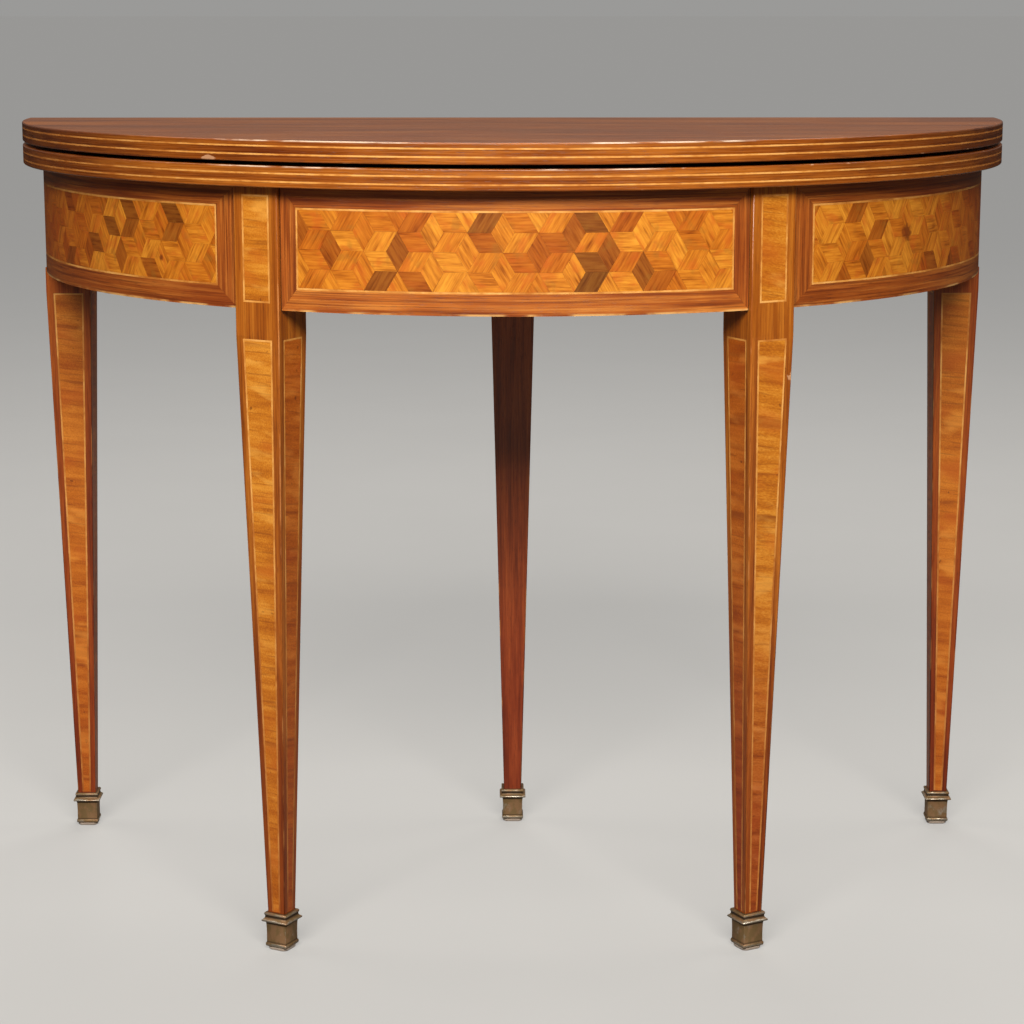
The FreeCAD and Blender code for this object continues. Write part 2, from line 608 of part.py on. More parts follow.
def leg_inlay(name):
    """Three faces of a leg: the recesses, the string frames, open at the toe, and the veneer panels."""
    base = f"({shoe_top} + {s.panel_toe_margin})"
    outer_top = f"({taper_top} - {s.panel_top_margin})"
    inner_top = f"({outer_top} - {s.string_width})"

    def slab(tag, top, inset, yaw):
        half_base = f"({leg_half(base)} - {s.panel_toe_side_margin} - {inset})"
        half_top = f"({leg_half(top)} - {s.panel_side_margin} - {inset})"
        face_base, face_top = leg_half(base), leg_half(top)
        return wedge(tag, base, top, half_base, half_top, f"({face_base} - {s.inlay_depth})",
                     f"({face_top} - {s.inlay_depth})", face_base, face_top, yaw)

    beds, frames, panels = [], [], []
    for face, yaw in (("front", 0), ("right", 90), ("left", -90)):
        bed = slab(f"{name}_{face}_bed", outer_top, "0", yaw)
        panel = slab(f"{name}_{face}_panel", inner_top, s.string_width, yaw)
        beds.append(bed)
        panels.append(panel)
        frames.append(cut(f"{name}_{face}_frame", bed, panel))
    return beds, frames, panels


def stile_inlay(name):
    """The outer face of a front stile."""
    face = f"(-{s.leg_width} / 2)"
    half = f"({s.leg_width} / 2 - {s.stile_panel_margin})"
    base = f"({s.under_frieze} + {s.stile_panel_rise})"
    top = f"({frame_top} - {s.stile_panel_drop})"

    def slab(tag, inset):
        side = f"({half} - {inset})"
        return box(tag, f"-{side}", side, face, f"({face} + {s.inlay_depth})", f"({base} + {inset})",
                   f"({top} - {inset})")

    bed = slab(f"{name}_stile_bed", "0")
    panel = slab(f"{name}_stile_panel", s.string_width)
    return bed, cut(f"{name}_stile_frame", bed, panel), panel


def front_leg():
    name = "front_left_leg"
    beds, frames, panels = leg_inlay(name)
    bed, frame, panel = stile_inlay(name)
    blank = fuse(f"{name}_blank", *leg_taper(name), leg_block(name, frame_top))
    inlaid = at_front_leg(cut(f"{name}_inlaid", blank, fuse(f"{name}_beds", *beds, bed)))
    tongue = ring(f"{name}_tongue", tenon_outer, tenon_inner, tenon_base, f"({tenon_base} + {tenon_height})",
                  f"(-2 * {stile_angle})", "0")
    mortises = cut(f"{name}_mortises", tongue, stile_core_left)
    leg = subpart(cut(f"{name}_mortised", inlaid, mortises), name)
    lines = subpart(at_front_leg(group(f"{name}_lines", *frames, frame)), f"{name}_stringing")
    veneers = subpart(at_front_leg(group(f"{name}_veneers", *panels, panel)), f"{name}_panels")
    right_of(leg, "front_right_leg")
    right_of(lines, "front_right_leg_stringing")
    right_of(veneers, "front_right_leg_panels")


rail_middle = f"({frame_back} - {s.rail_thick} / 2)"
back_tenon = (f"({rail_middle} - {s.tenon_thick} / 2)", f"({rail_middle} + {s.tenon_thick} / 2)", tenon_base,
              f"({tenon_base} + {tenon_height})")


def corner_leg():
    name = "back_left_leg"
    beds, frames, panels = leg_inlay(name)
    shaft = cut(f"{name}_inlaid", fuse(f"{name}_taper", *leg_taper(name)), fuse(f"{name}_beds", *beds))
    at_corner_leg(shaft)
    collar = at_corner_leg(group(f"{name}_collar", leg_block(name, s.under_frieze)))
    slab = box(f"{name}_slab", past_left, f"(-{corner_inner})", corner_front, frame_back, s.under_frieze, frame_top)
    post = common(f"{name}_post", slab, sector(f"{name}_round", core_radius, past_base, past_top, "-90", "90"))
    tongue = ring(f"{name}_tongue", tenon_outer, tenon_inner, tenon_base, f"({tenon_base} + {tenon_height})",
                  "-90", "0")
    mortise = cut(f"{name}_mortise", tongue, corner_core)
    slot = box(f"{name}_slot", f"(-{corner_inner} - {s.tenon_length})", f"(-{corner_inner} + {s.overrun})",
               *back_tenon)
    blank = fuse(f"{name}_blank", shaft, collar, post)
    leg = subpart(cut(f"{name}_mortised", blank, fuse(f"{name}_mortises", mortise, slot)), name)
    lines = subpart(at_corner_leg(group(f"{name}_lines", *frames)), f"{name}_stringing")
    veneers = subpart(at_corner_leg(group(f"{name}_veneers", *panels)), f"{name}_panels")
    right_of(leg, "back_right_leg")
    right_of(lines, "back_right_leg_stringing")
    right_of(veneers, "back_right_leg_panels")


front_leg()
corner_leg()

# The fifth leg and its drawer
drawer_tenon = (f"({rail_middle} - {s.tenon_thick} / 2)", f"({rail_middle} + {s.tenon_thick} / 2)", tenon_base,
                f"({drawer_top} - {s.tenon_shoulder})")
leg_side = f"(-{s.leg_width} / 2)"
left_tenon = box("fifth_tenon", leg_side, f"({leg_side} + {s.tenon_length})", *drawer_tenon)
fifth_blank = at_fifth_leg(fuse("fifth_leg_blank", *leg_taper("fifth_leg"), leg_block("fifth_leg", drawer_top)))
both_tenons = fuse("fifth_tenons", left_tenon, twin(left_tenon, "fifth_tenon_right"))
subpart(cut("fifth_leg_mortised", fifth_blank, both_tenons), "back_centre_leg")

drawer_left = f"(-{drawer_half})"
drawer_inner = f"({drawer_left} + {s.drawer_side_thick})"
back_board = box("drawer_board", drawer_left, leg_side, rail_front, frame_back, s.under_frieze, drawer_top)
left_board = subpart(fuse("drawer_board_tenoned", back_board, left_tenon), "drawer_back_left")
right_of(left_board, "drawer_back_right")

groove_left = f"({drawer_inner} - {s.drawer_groove})"
groove_end = f"({drawer_end} + {s.drawer_side_thick} - {s.drawer_groove})"
bottom_base = f"({drawer_base} + {s.drawer_bottom_rise})"
bottom_top = f"({bottom_base} + {s.drawer_bottom_thick})"
bottom_blank = box("drawer_bottom_blank", groove_left, f"(-{groove_left})", groove_end, rail_front, bottom_base,
                   bottom_top)
leg_front = f"({fifth_leg_y} - {s.leg_width} / 2)"
leg_notch = box("drawer_bottom_notch", leg_side, f"(-{leg_side})", leg_front, past_back, past_base, past_top)
subpart(cut("drawer_bottom_cut", bottom_blank, leg_notch), "drawer_bottom")
left_pin = rod("stop_pin", s.pin_radius, f"({drawer_left} - {s.pin_reach})", drawer_inner, pin_place, pin_height)
subpart(group("stop_pin_set", left_pin, twin(left_pin, "stop_pin_right")), "drawer_stop_pins")
side_blank = box("drawer_side_blank", drawer_left, drawer_inner, drawer_end, rail_front, drawer_base, drawer_top)
side_tools = fuse("drawer_side_tools", bottom_blank, left_pin)
left_side = subpart(cut("drawer_side_cut", side_blank, side_tools), "drawer_side_left")
right_of(left_side, "drawer_side_right")
end_blank = box("drawer_end_blank", drawer_inner, f"(-{drawer_inner})", drawer_end,
                f"({drawer_end} + {s.drawer_side_thick})", drawer_base, drawer_top)
subpart(cut("drawer_end_cut", end_blank, bottom_blank), "drawer_inner_end")

# The back of the frame, the drawer guides and what ties them
rail_blank = box("back_rail_board", f"(-{corner_inner})", f"(-{opening_half})", rail_front, frame_back,
                 s.under_frieze, frame_top)
rail_tenon = box("back_rail_tenon", f"(-{corner_inner} - {s.tenon_length})", f"(-{corner_inner})", *back_tenon)
left_back_rail = subpart(fuse("back_rail_tenoned", rail_blank, rail_tenon), "back_rail_left")
right_of(left_back_rail, "back_rail_right")

guide_outer = f"(-({opening_half} + {s.guide_thick}))"
guide_front = f"({hinge_line} - {rail_radius})"
web = box("guide_web", guide_outer, f"(-{opening_half})", guide_front, rail_front, guide_base, frame_top)
runner = box("guide_runner", f"(-{opening_half})", f"(-{opening_half} + {s.runner_width})", guide_front,
             f"({rail_front} - {s.slide_gap})", guide_base, runner_top)
inside = sector("guide_round", rail_radius, past_base, past_top, "-90", "90")
slot = box("guide_slot", f"(-({opening_half} + {s.pin_reach}))", f"(-{opening_half} + {s.overrun})",
           f"({pin_place} - {slot_half})", f"({pin_place} + {slide_travel} + {slot_half})",
           f"({pin_height} - {slot_half})", f"({pin_height} + {slot_half})")
guide_blank = common("guide_fitted", fuse("guide_blank", web, runner), inside)
left_guide = subpart(cut("guide_cut", guide_blank, fuse("guide_tools", slot, *guide_holes)), "drawer_guide_left")
right_of(left_guide, "drawer_guide_right")

bearer_back = f"({hinge_line} - {s.bearer_place})"
subpart(box("bearer", guide_outer, f"(-{guide_outer})", f"({bearer_back} - {s.bearer_width})", bearer_back,
            f"({guide_base} - {s.bearer_height})", guide_base), "guide_bearer")

block_low = f"({frame_top} - {s.block_height})"
block_front = f"({rail_front} - {s.block_size})"
blocks = [box("corner_block", f"(-{corner_inner})", f"(-{corner_inner} + {s.block_size})", block_front, rail_front,
              block_low, frame_top),
          box("guide_block", f"({guide_outer} - {s.block_size})", guide_outer, block_front, rail_front, block_low,
              frame_top)]
subpart(group("block_set", *blocks, *[twin(piece, f"{piece.Name}_right") for piece in blocks]), "glue_blocks")


# Bronze shoes and felt pads
def shoe_outline():
    """The right side of the moulding from base to top, then the left side down again."""
    base = f"({s.shoe_base_width} / 2)"
    waist = f"({s.shoe_body_width} / 2)"
    neck = f"({s.shoe_neck_width} / 2)"
    collar = f"({s.shoe_collar_width} / 2)"
    lip = f"({s.shoe_lip_width} / 2)"
    right = [(base, "0", s.shoe_bead_round, 1), (base, s.shoe_bead_height),
             (waist, s.shoe_bead_height, s.shoe_body_round, -1),
             (neck, s.shoe_neck_height, s.shoe_cove_round, -1), (collar, s.shoe_cove_height, s.shoe_collar_round, 1),
             (collar, s.shoe_collar_height, s.shoe_lip_round, -1), (lip, s.shoe_lip_height), (lip, s.shoe_height)]
    left = []
    for index in range(len(right) - 1, -1, -1):
        arc = right[index - 1][2:] if index else ()
        left.append((f"-{right[index][0]}", right[index][1], *arc))
    return right + left


def shoe_blank():
    """A square moulded block: the same section run along X and along Y, and what they share."""
    runs = []
    for name, yaw in (("shoe_across", 0), ("shoe_along", 90)):
        section = lean(doc.addObject("Sketcher::SketchObject", f"{name}_section"), yaw, 90)
        outline(section, shoe_outline())
        place(section, z=s.pad_thick)
        run = doc.addObject("Part::Extrusion", name)
        run.Base = section
        run.DirMode = "Normal"
        run.Symmetric = True
        run.Solid = True
        bind(run, LengthFwd=f"({s.shoe_collar_width} + 2 * {s.overrun})")
        runs.append(run)
    half = f"({s.toe_width} / 2)"
    socket = box("shoe_socket", f"-{half}", half, f"-{half}", half, f"({shoe_top} - {s.toe_length})",
                 f"({shoe_top} + {s.overrun})")
    return cut("shoe_blank", common("shoe_block", *runs), socket)


shoe = shoe_blank()
pad_half = f"({s.pad_width} / 2)"
pad = common("pad_blank", box("pad_square", f"-{pad_half}", pad_half, f"-{pad_half}", pad_half, "0", s.pad_thick),
             cylinder("pad_round", s.pad_radius, s.pad_thick))
for foot, at_leg, other in (("front_left", at_front_leg, "front_right"), ("back_left", at_corner_leg, "back_right"),
                            ("back_centre", at_fifth_leg, None)):
    left_shoe = subpart(at_leg(group(f"{foot}_shoe", shoe)), f"{foot}_sabot")
    left_pad = subpart(at_leg(group(f"{foot}_felt", pad)), f"{foot}_foot_pad")
    if other:
        right_of(left_shoe, f"{other}_sabot")
        right_of(left_pad, f"{other}_foot_pad")

doc.recompute()

for obj in doc.Objects:
    if "Invalid" in obj.State or "Error" in obj.State:
        raise RuntimeError(f"{obj.Label} failed: {obj.State}")
for obj in subparts:
    if obj.Shape.isNull() or not obj.Shape.isValid() or not obj.Shape.Solids:
        raise RuntimeError(f"{obj.Label} has no valid solid")

os.makedirs("parts", exist_ok=True)
for obj in subparts:
    obj.Shape.exportStep(f"parts/{obj.Label}.step")
print(len(subparts), "sub-parts written")
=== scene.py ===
import json
import math
import random

import bmesh
import bpy
from mathutils import Matrix, Vector


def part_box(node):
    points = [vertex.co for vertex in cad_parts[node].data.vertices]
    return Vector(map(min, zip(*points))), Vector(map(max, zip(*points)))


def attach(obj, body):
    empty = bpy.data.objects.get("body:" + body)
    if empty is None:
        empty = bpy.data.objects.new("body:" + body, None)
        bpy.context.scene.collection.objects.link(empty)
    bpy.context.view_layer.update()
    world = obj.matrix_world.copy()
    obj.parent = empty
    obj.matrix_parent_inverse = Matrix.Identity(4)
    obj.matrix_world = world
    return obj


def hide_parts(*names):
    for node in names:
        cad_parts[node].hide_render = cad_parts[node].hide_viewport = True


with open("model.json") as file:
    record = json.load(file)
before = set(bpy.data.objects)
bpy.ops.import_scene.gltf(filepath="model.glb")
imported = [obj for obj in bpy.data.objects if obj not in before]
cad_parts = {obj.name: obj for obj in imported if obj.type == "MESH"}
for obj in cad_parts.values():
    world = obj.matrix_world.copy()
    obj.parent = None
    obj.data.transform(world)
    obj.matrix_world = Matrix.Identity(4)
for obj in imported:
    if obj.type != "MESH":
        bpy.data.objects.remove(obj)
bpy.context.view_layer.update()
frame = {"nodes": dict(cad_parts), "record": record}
nodes = frame["nodes"]

# Sizes that the solids were drawn to, in metres and degrees
HINGE_LINE = 0.25375
LEAF_RADIUS = 0.515
LEAF_THICK = 0.0194
FRIEZE_RADIUS = 0.495
VENEER_THICK = 0.0012
FRIEZE_BASE = 0.6205
FRIEZE_TOP = 0.733
FIELD_RISE = 0.0198
FIELD_DROP = 0.0186
STRING_WIDTH = 0.0017
STILE_ANGLE = 28.2
LEG_WIDTH = 0.047
LEG_TOE_WIDTH = 0.0192
SHOE_TOP = 0.0375
SHOE_CORNER = 0.0004
SOCKET_FLOOR = 0.01
TAPER_TOP = 0.5955
BACK_GAP = 0.004
CENTRE_END_BORDER = 0.0165
SIDE_END_BORDER = 0.023
BACK_END_BORDER = 0.020
FRONT_LEG_RADIUS = 0.4751
CORNER_LEG = (0.4715, 0.22625)
FIFTH_LEG = (0.0, 0.23775)
PAD_HALF = 0.0106
PAD_RADIUS = 0.0128
PAD_THICK = 0.0035
BAIZE_BORDER = 0.052
BAIZE_BACK_BORDER = 0.012
LEAF_JOINT = 0.7542
UPPER_MIDDLE = 0.7657
LOWER_MIDDLE = 0.7427
UPPER_ARRIS = 0.7754
LOWER_ARRIS = 0.7524

# The line let into the leaves' inner faces, the veneer of their edge, and how wide an arris wears
INNER_LINE_INSET = 0.046
INNER_LINE_HALF = 0.0009
INNER_FACE_DEPTH = 0.0025
EDGE_VENEER = 0.0011
WEAR_START = 0.0016
WEAR_FULL = 0.0006

# Painted highlights along the leaves' arrises, standing in for glints of the polish, each from one arc to
# another at a level
ARRIS_GLINTS = ((-0.29, -0.08, UPPER_ARRIS), (0.05, 0.23, UPPER_ARRIS),
                    (-0.30, -0.13, LOWER_ARRIS), (0.01, 0.14, LOWER_ARRIS))
GLINT_FADE = 0.03
GLINT_LEVEL_NEAR = 0.002
GLINT_LEVEL_FAR = 0.003

# A chip in the upper leaf's edge, by its arc and level, and one in the right front leg
CHIP_PLACE = -0.2935
CHIP_HALF = 0.0105
CHIP_LEVEL = 0.7577
CHIP_RISE = 0.0042
LEG_CHIP = (0.2545, -0.1742, 0.557)
LEG_CHIP_REACH = 0.0044
LEG_CHIP_HEART = 0.0026

# A rubbed arris of a leg: its round, and what counts as one of the leg's long corners
LEG_ARRIS_ROUND = 0.0009
SHORTEST_ARRIS = 0.004
LEAST_ARRIS_RISE = 0.003
LEAST_ARRIS_FOLD = 60
LEVEL_SLACK = 1e-4
WIDTH_SLACK = 2e-4

# What counts as parallel, as one point, and as flat in degrees
PARALLEL = 1e-6
SAME_POINT = 1e-6
FLAT_ANGLE = 0.5

# How finely the pads and the cloths are divided, the cloths' soft edge, and the floor's half width
PAD_STEPS = 64
BAIZE_STEPS = 120
BAIZE_SOFT_EDGE = 0.0006
FLOOR_REACH = 200.0

# Area lamps: place, the point they face, width and height, and watts
SOFTBOXES = (("front_softbox", (-0.08, -3.1, 2.55), (0.0, -0.1, 0.7), (3.4, 1.15), 216),
             ("back_softbox", (0.3, 2.4, 3.6), (0.0, 0.2, 0.4), (2.4, 1.2), 55),
             ("left_softbox", (-2.1, 0.7, 2.9), (0.0, 0.1, 0.4), (1.2, 1.0), 12),
             ("right_softbox", (2.1, 0.7, 2.9), (0.0, 0.1, 0.4), (1.2, 1.0), 12))
LAMP_COLOUR = (1.0, 0.96, 0.9)

# The camera, fitted to the view from the front
CAMERA_PLACE = (-0.01484, -2.54421, 0.89387)
CAMERA_TILT = 78.925
CAMERA_TURN = -0.293
CAMERA_LENS = 91.17
CAMERA_SENSOR = 36.0


def arc_at(angle):
    """The length along the frieze's face to an angle from the middle of the front."""
    return math.radians(angle) * FRIEZE_RADIUS


stile_arc = arc_at(STILE_ANGLE)
stile_half = math.asin(LEG_WIDTH / 2 / FRIEZE_RADIUS) * FRIEZE_RADIUS
centre_end = stile_arc - stile_half
centre_window = centre_end - CENTRE_END_BORDER
side_start = stile_arc + stile_half
side_end = math.acos(BACK_GAP / FRIEZE_RADIUS) * FRIEZE_RADIUS
side_window = side_start + SIDE_END_BORDER
back_window = arc_at(90) - BACK_GAP - BACK_END_BORDER
front_turn = math.radians(STILE_ANGLE)
front_leg = (FRONT_LEG_RADIUS * math.sin(front_turn),
             HINGE_LINE - FRONT_LEG_RADIUS * math.cos(front_turn))


def tint(red, green, blue):
    """An everyday screen colour, each part from 0 to 255, in the linear numbers that shaders take."""
    def linear(level):
        level /= 255
        return level / 12.92 if level <= 0.04045 else ((level + 0.055) / 1.055) ** 2.4

    return linear(red), linear(green), linear(blue), 1.0


class Reading:
    """One output of a material's nodes. Arithmetic on it adds Math nodes."""

    def __init__(self, finish, socket):
        self.finish = finish
        self.socket = socket

    def math(self, operation, *terms):
        return self.finish.add("Math", {"operation": operation}, dict(enumerate(terms)))

    def __add__(self, other):
        return self.math("ADD", self, other)

    def __sub__(self, other):
        return self.math("SUBTRACT", self, other)

    def __rsub__(self, other):
        return self.math("SUBTRACT", other, self)

    def __mul__(self, other):
        return self.math("MULTIPLY", self, other)

    def __truediv__(self, other):
        return self.math("DIVIDE", self, other)

    def __lt__(self, other):
        return self.math("LESS_THAN", self, other)

    def __gt__(self, other):
        return self.math("GREATER_THAN", self, other)

    def __abs__(self):
        return self.math("ABSOLUTE", self)

    __radd__ = __add__
    __rmul__ = __mul__


class Finish:
    """A material in the making, or the world."""

    def __init__(self, name, shelf=bpy.data.materials):
        self.material = shelf.new(name)
        self.material.use_nodes = True
        self.tree = self.material.node_tree
        self.shader, self.end = self.tree.nodes
        self.shown = Reading(self, self.shader.outputs[0])

    def feed(self, socket, value):
        if isinstance(value, Reading):
            self.tree.links.new(value.socket, socket)
        else:
            socket.default_value = value

    def add(self, kind, settings=None, sockets=None, output=0):
        """Adds a node: its settings first, then the values or links of its sockets."""
        node = self.tree.nodes.new(f"ShaderNode{kind}")
        for name, value in (settings or {}).items():
            if name == "stops":
                stops = node.color_ramp.elements
                for index, (place, colour) in enumerate(value):
                    stop = stops[index] if index < len(stops) else stops.new(place)
                    stop.position = place
                    stop.color = colour
            else:
                setattr(node, name, value)
        for key, value in (sockets or {}).items():
            self.feed(node.inputs[key], value)
        return Reading(self, node.outputs[output])

    def place(self):
        """The point of the surface in the table's own frame."""
        return self.add("TexCoord", output="Object")

    def mark(self, name):
        """A number that the mesh carries on each face."""
        return self.add("Attribute", {"attribute_name": name}, output="Fac")

    def parts(self, vector):
        first = self.add("SeparateXYZ", sockets={0: vector})
        return [Reading(self, socket) for socket in first.socket.node.outputs]

    def vector(self, x, y, z):
        return self.add("CombineXYZ", sockets={0: x, 1: y, 2: z})

    def noise(self, vector, amounts, detail=2.0, rough=0.5):
        """Noise with so many waves to the metre each way."""
        stretched = self.add("VectorMath", {"operation": "MULTIPLY"}, {0: vector, 1: amounts})
        return self.add("TexNoise", sockets={"Vector": stretched, "Scale": 1.0, "Detail": detail,
                                             "Roughness": rough})

    def ramp(self, value, *stops):
        return self.add("ValToRGB", {"stops": stops}, {0: value})

    def step(self, value, low, high):
        """0 below low and 1 above high, smooth between."""
        return self.add("MapRange", {"interpolation_type": "SMOOTHSTEP"},
                        {"Value": value, "From Min": low, "From Max": high})

    def mix(self, share, first, second, blend="MIX"):
        settings = {"data_type": "RGBA", "blend_type": blend}
        return self.add("Mix", settings, {0: share, 6: first, 7: second}, 2)

    def steer(self, share, first, second):
        return self.add("Mix", {"data_type": "VECTOR"}, {0: share, 4: first, 5: second}, 1)

    def relief(self, height, depth):
        return self.add("Bump", sockets={"Strength": 1.0, "Distance": depth, "Height": height})

    def blend(self, share, other):
        """Shows another shader in place of a share of this one."""
        self.shown = self.add("MixShader", sockets={0: share, 1: self.shown, 2: other})
        self.feed(self.end.inputs["Surface"], self.shown)

    def surface(self, **sockets):
        for name, value in sockets.items():
            self.feed(self.shader.inputs[name.replace("_", " ")], value)
        return self.material


def timber(finish, grain, palette, pore_colour, pore_share=0.5, figure=(3.0, 90.0, 90.0), rough=0.34):
    """Wood whose first grain coordinate runs along the fibres, all in metres."""
    broad = finish.noise(grain, figure, 3.0, 0.55)
    fine = finish.noise(grain, (16.0, 750.0, 750.0), 2.0)
    cloud = finish.noise(grain, (5.0, 16.0, 16.0), 2.0)
    pores = finish.noise(grain, (75.0, 2400.0, 2400.0), 1.0)
    tone = broad * 0.5 + fine * 0.3 + cloud * 0.2
    dark, mid, light = palette
    colour = finish.ramp(tone, (0.36, dark), (0.49, mid), (0.62, light))
    pore = finish.step(pores, 0.60, 0.72) * pore_share
    colour = finish.mix(pore, colour, pore_colour)
    height = fine * 0.4 - pore
    roughness = rough + (fine - 0.5) * 0.16 + pore * 0.1
    return colour, roughness, height


def polished(finish, colour, roughness, height, coat=0.25, depth=0.00006):
    return finish.surface(Base_Color=colour, Roughness=roughness, Normal=finish.relief(height, depth),
                          Coat_Weight=coat, Coat_Roughness=0.16, Specular_IOR_Level=0.4)


MAHOGANY = (tint(104, 44, 10), tint(146, 74, 18), tint(182, 104, 32))
MAHOGANY_PORE = tint(66, 26, 8)
GOLDEN = (tint(166, 88, 17), tint(198, 118, 28), tint(222, 147, 50))
GOLDEN_PORE = tint(134, 64, 12)
BANDING_WOOD = (tint(120, 52, 16), tint(182, 98, 34), tint(220, 138, 58))
LEG_WOOD = (tint(120, 54, 10), tint(160, 84, 18), tint(192, 114, 34))
PLAIN_LEG_WOOD = (tint(110, 45, 16), tint(148, 67, 25), tint(176, 90, 38))
CARCASE_WOOD = (tint(120, 78, 46), tint(150, 104, 64), tint(178, 130, 84))
CARCASE_PORE = tint(86, 54, 32)
CHIPPED = tint(198, 146, 108)
# A darker, redder tint that paints shade on sideways-facing panels and on the corner legs
PAINTED_SHADE_TINT = tint(238, 204, 190)


def reach_of(finish, x, y):
    """How far a point is from the middle of the hinge line."""
    spoke = finish.vector(x, HINGE_LINE - y, 0.0)
    return finish.add("VectorMath", {"operation": "LENGTH"}, {0: spoke}, "Value")


def arc_along(x, y, radius):
    """How far round a curve of that radius a point lies from the middle of the front."""
    return x.math("ARCTAN2", x, HINGE_LINE - y) * radius


def chipped_place(finish, arc, z):
    """A shallow ragged chip in the upper leaf's lower arris and string."""
    ragged = (finish.noise(finish.vector(arc, z, 0.0), (220.0, 500.0, 0.0), 3.0) - 0.5) * 0.9
    away = abs(arc - CHIP_PLACE) / CHIP_HALF + abs(z - CHIP_LEVEL) / CHIP_RISE + ragged
    return finish.step(away, 1.0, 0.75) * 0.85


def leaf_finish():
    """Straight grain outside, grain along the edge, and a cross-banded border with a line inside."""
    finish = Finish("leaf_veneer")
    x, y, z = finish.parts(finish.place())
    radius = reach_of(finish, x, y)
    arc = arc_along(x, y, LEAF_RADIUS)
    field = finish.vector(x, y, 0.0)
    border = finish.vector(radius, arc, 0.0)
    edge = finish.vector(arc, z, radius)
    line = LEAF_RADIUS - INNER_LINE_INSET
    inside = abs(z - LEAF_JOINT) < INNER_FACE_DEPTH
    grain = finish.steer((radius > line) * inside, field, border)
    grain = finish.steer(radius > LEAF_RADIUS - EDGE_VENEER, grain, edge)
    colour, roughness, height = timber(finish, grain, MAHOGANY, MAHOGANY_PORE, 0.55)
    inlaid = (abs(radius - line) < INNER_LINE_HALF) * inside
    colour = finish.mix(inlaid, colour, tint(214, 160, 92))
    rim = finish.step(radius, LEAF_RADIUS - WEAR_START, LEAF_RADIUS - WEAR_FULL)
    mottle = finish.step(finish.noise(edge, (13.0, 150.0, 0.0), 5.0, 0.6), 0.46, 0.66)
    dusky = finish.step(abs(arc), 0.24, 0.55) * (0.38 + (z > LEAF_JOINT) * 0.3)
    colour = finish.mix(rim * (mottle * 0.38 + dusky), colour, tint(84, 36, 10))
    figure = finish.step(finish.noise(field, (2.4, 13.0, 0.0), 4.0, 0.6), 0.42, 0.66)
    colour = finish.mix((1 - rim) * figure * 0.55, colour, tint(92, 40, 14))
    sheen = finish.noise(field, (24.0, 6.0, 0.0), 3.0)
    colour = finish.mix(chipped_place(finish, arc, z) * rim, colour, CHIPPED)
    upper = abs(z - UPPER_MIDDLE)
    lower = abs(z - LOWER_MIDDLE)
    near = upper.math("MINIMUM", upper, lower)
    arris = finish.step(near, LEAF_THICK / 2 - WEAR_START, LEAF_THICK / 2 - WEAR_FULL) * rim
    # Painted highlight: pale, broken stretches on the arrises where the polish would glint
    glint_breaks = finish.step(finish.noise(edge, (30.0, 150.0, 0.0), 4.0), 0.34, 0.56)
    for start, end, level in ARRIS_GLINTS:
        middle = (start + end) / 2
        half = (end - start) / 2
        within = finish.step(abs(arc - middle), half, half - GLINT_FADE)
        stretch = within * finish.step(abs(z - level), GLINT_LEVEL_FAR, GLINT_LEVEL_NEAR)
        colour = finish.mix(stretch * arris * glint_breaks, colour, tint(232, 204, 176))
    chips = finish.step(finish.noise(edge, (75.0, 260.0, 0.0), 3.0), 0.67, 0.72)
    colour = finish.mix(chips * arris, colour, CHIPPED)
    return polished(finish, colour, roughness - 0.06, height, 0.25 + (sheen - 0.5) * 0.5)


def boxwood_finish():
    """Pale stringing, a little uneven along its length and duller towards the floor."""
    finish = Finish("boxwood")
    place = finish.place()
    x, y, z = finish.parts(place)
    broad = finish.noise(place, (26.0, 26.0, 26.0), 3.0)
    fine = finish.noise(place, (160.0, 160.0, 160.0), 2.0)
    colour = finish.ramp(broad * 0.7 + fine * 0.3, (0.36, tint(188, 112, 42)), (0.5, tint(218, 148, 69)),
                         (0.62, tint(234, 171, 93)))
    arc = arc_along(x, y, LEAF_RADIUS)
    colour = finish.mix(chipped_place(finish, arc, z), colour, CHIPPED)
    colour = finish.mix(finish.step(z, 0.55, 0.1), colour, tint(214, 192, 178), "MULTIPLY")
    ends = finish.step(abs(arc), 0.2, 0.6) * (z > FRIEZE_TOP)
    colour = finish.mix(ends, colour, tint(218, 198, 186), "MULTIPLY")
    return polished(finish, colour, 0.38 + (fine - 0.5) * 0.2, fine, 0.2)


def banding_finish():
    """Mahogany lengths, rubbed pale along the frieze's lower arris, with dark joints and painted shade
    beside the stiles.
    """
    finish = Finish("banding")
    uv = finish.add("UVMap", {"uv_map": "grain"})
    colour, roughness, height = timber(finish, uv, BANDING_WOOD, MAHOGANY_PORE, 0.6, (4.0, 170.0, 0.0))
    colour = finish.mix(finish.mark("tone"), colour, tint(176, 138, 120), "MULTIPLY")
    streaks = finish.step(finish.noise(uv, (7.0, 380.0, 0.0), 4.0), 0.5, 0.64)
    colour = finish.mix(streaks * 0.55, colour, tint(84, 30, 12))
    place = finish.place()
    x, y, z = finish.parts(place)
    russet = finish.step(finish.noise(place, (7.0, 7.0, 12.0), 3.0), 0.46, 0.68)
    colour = finish.mix(russet * 0.5, colour, tint(124, 46, 18))
    patches = finish.step(finish.noise(place, (30.0, 30.0, 30.0), 3.0), 0.42, 0.6)
    rubbed = finish.step(z, FRIEZE_BASE + 0.0024, FRIEZE_BASE + 0.001) * patches
    colour = finish.mix(rubbed * 0.85, colour, tint(224, 172, 104))
    # Painted shade: a dark line beside each stile, where it stands proud of the banding, laid over the
    # joint there
    from_stile = abs(abs(arc_along(x, y, FRIEZE_RADIUS)) - stile_arc) - stile_half
    stile_joint_shade = finish.step(abs(from_stile), 0.0016, 0.0005)
    colour = finish.mix(stile_joint_shade * 0.85, colour, tint(38, 16, 8))
    return polished(finish, colour, roughness, height)


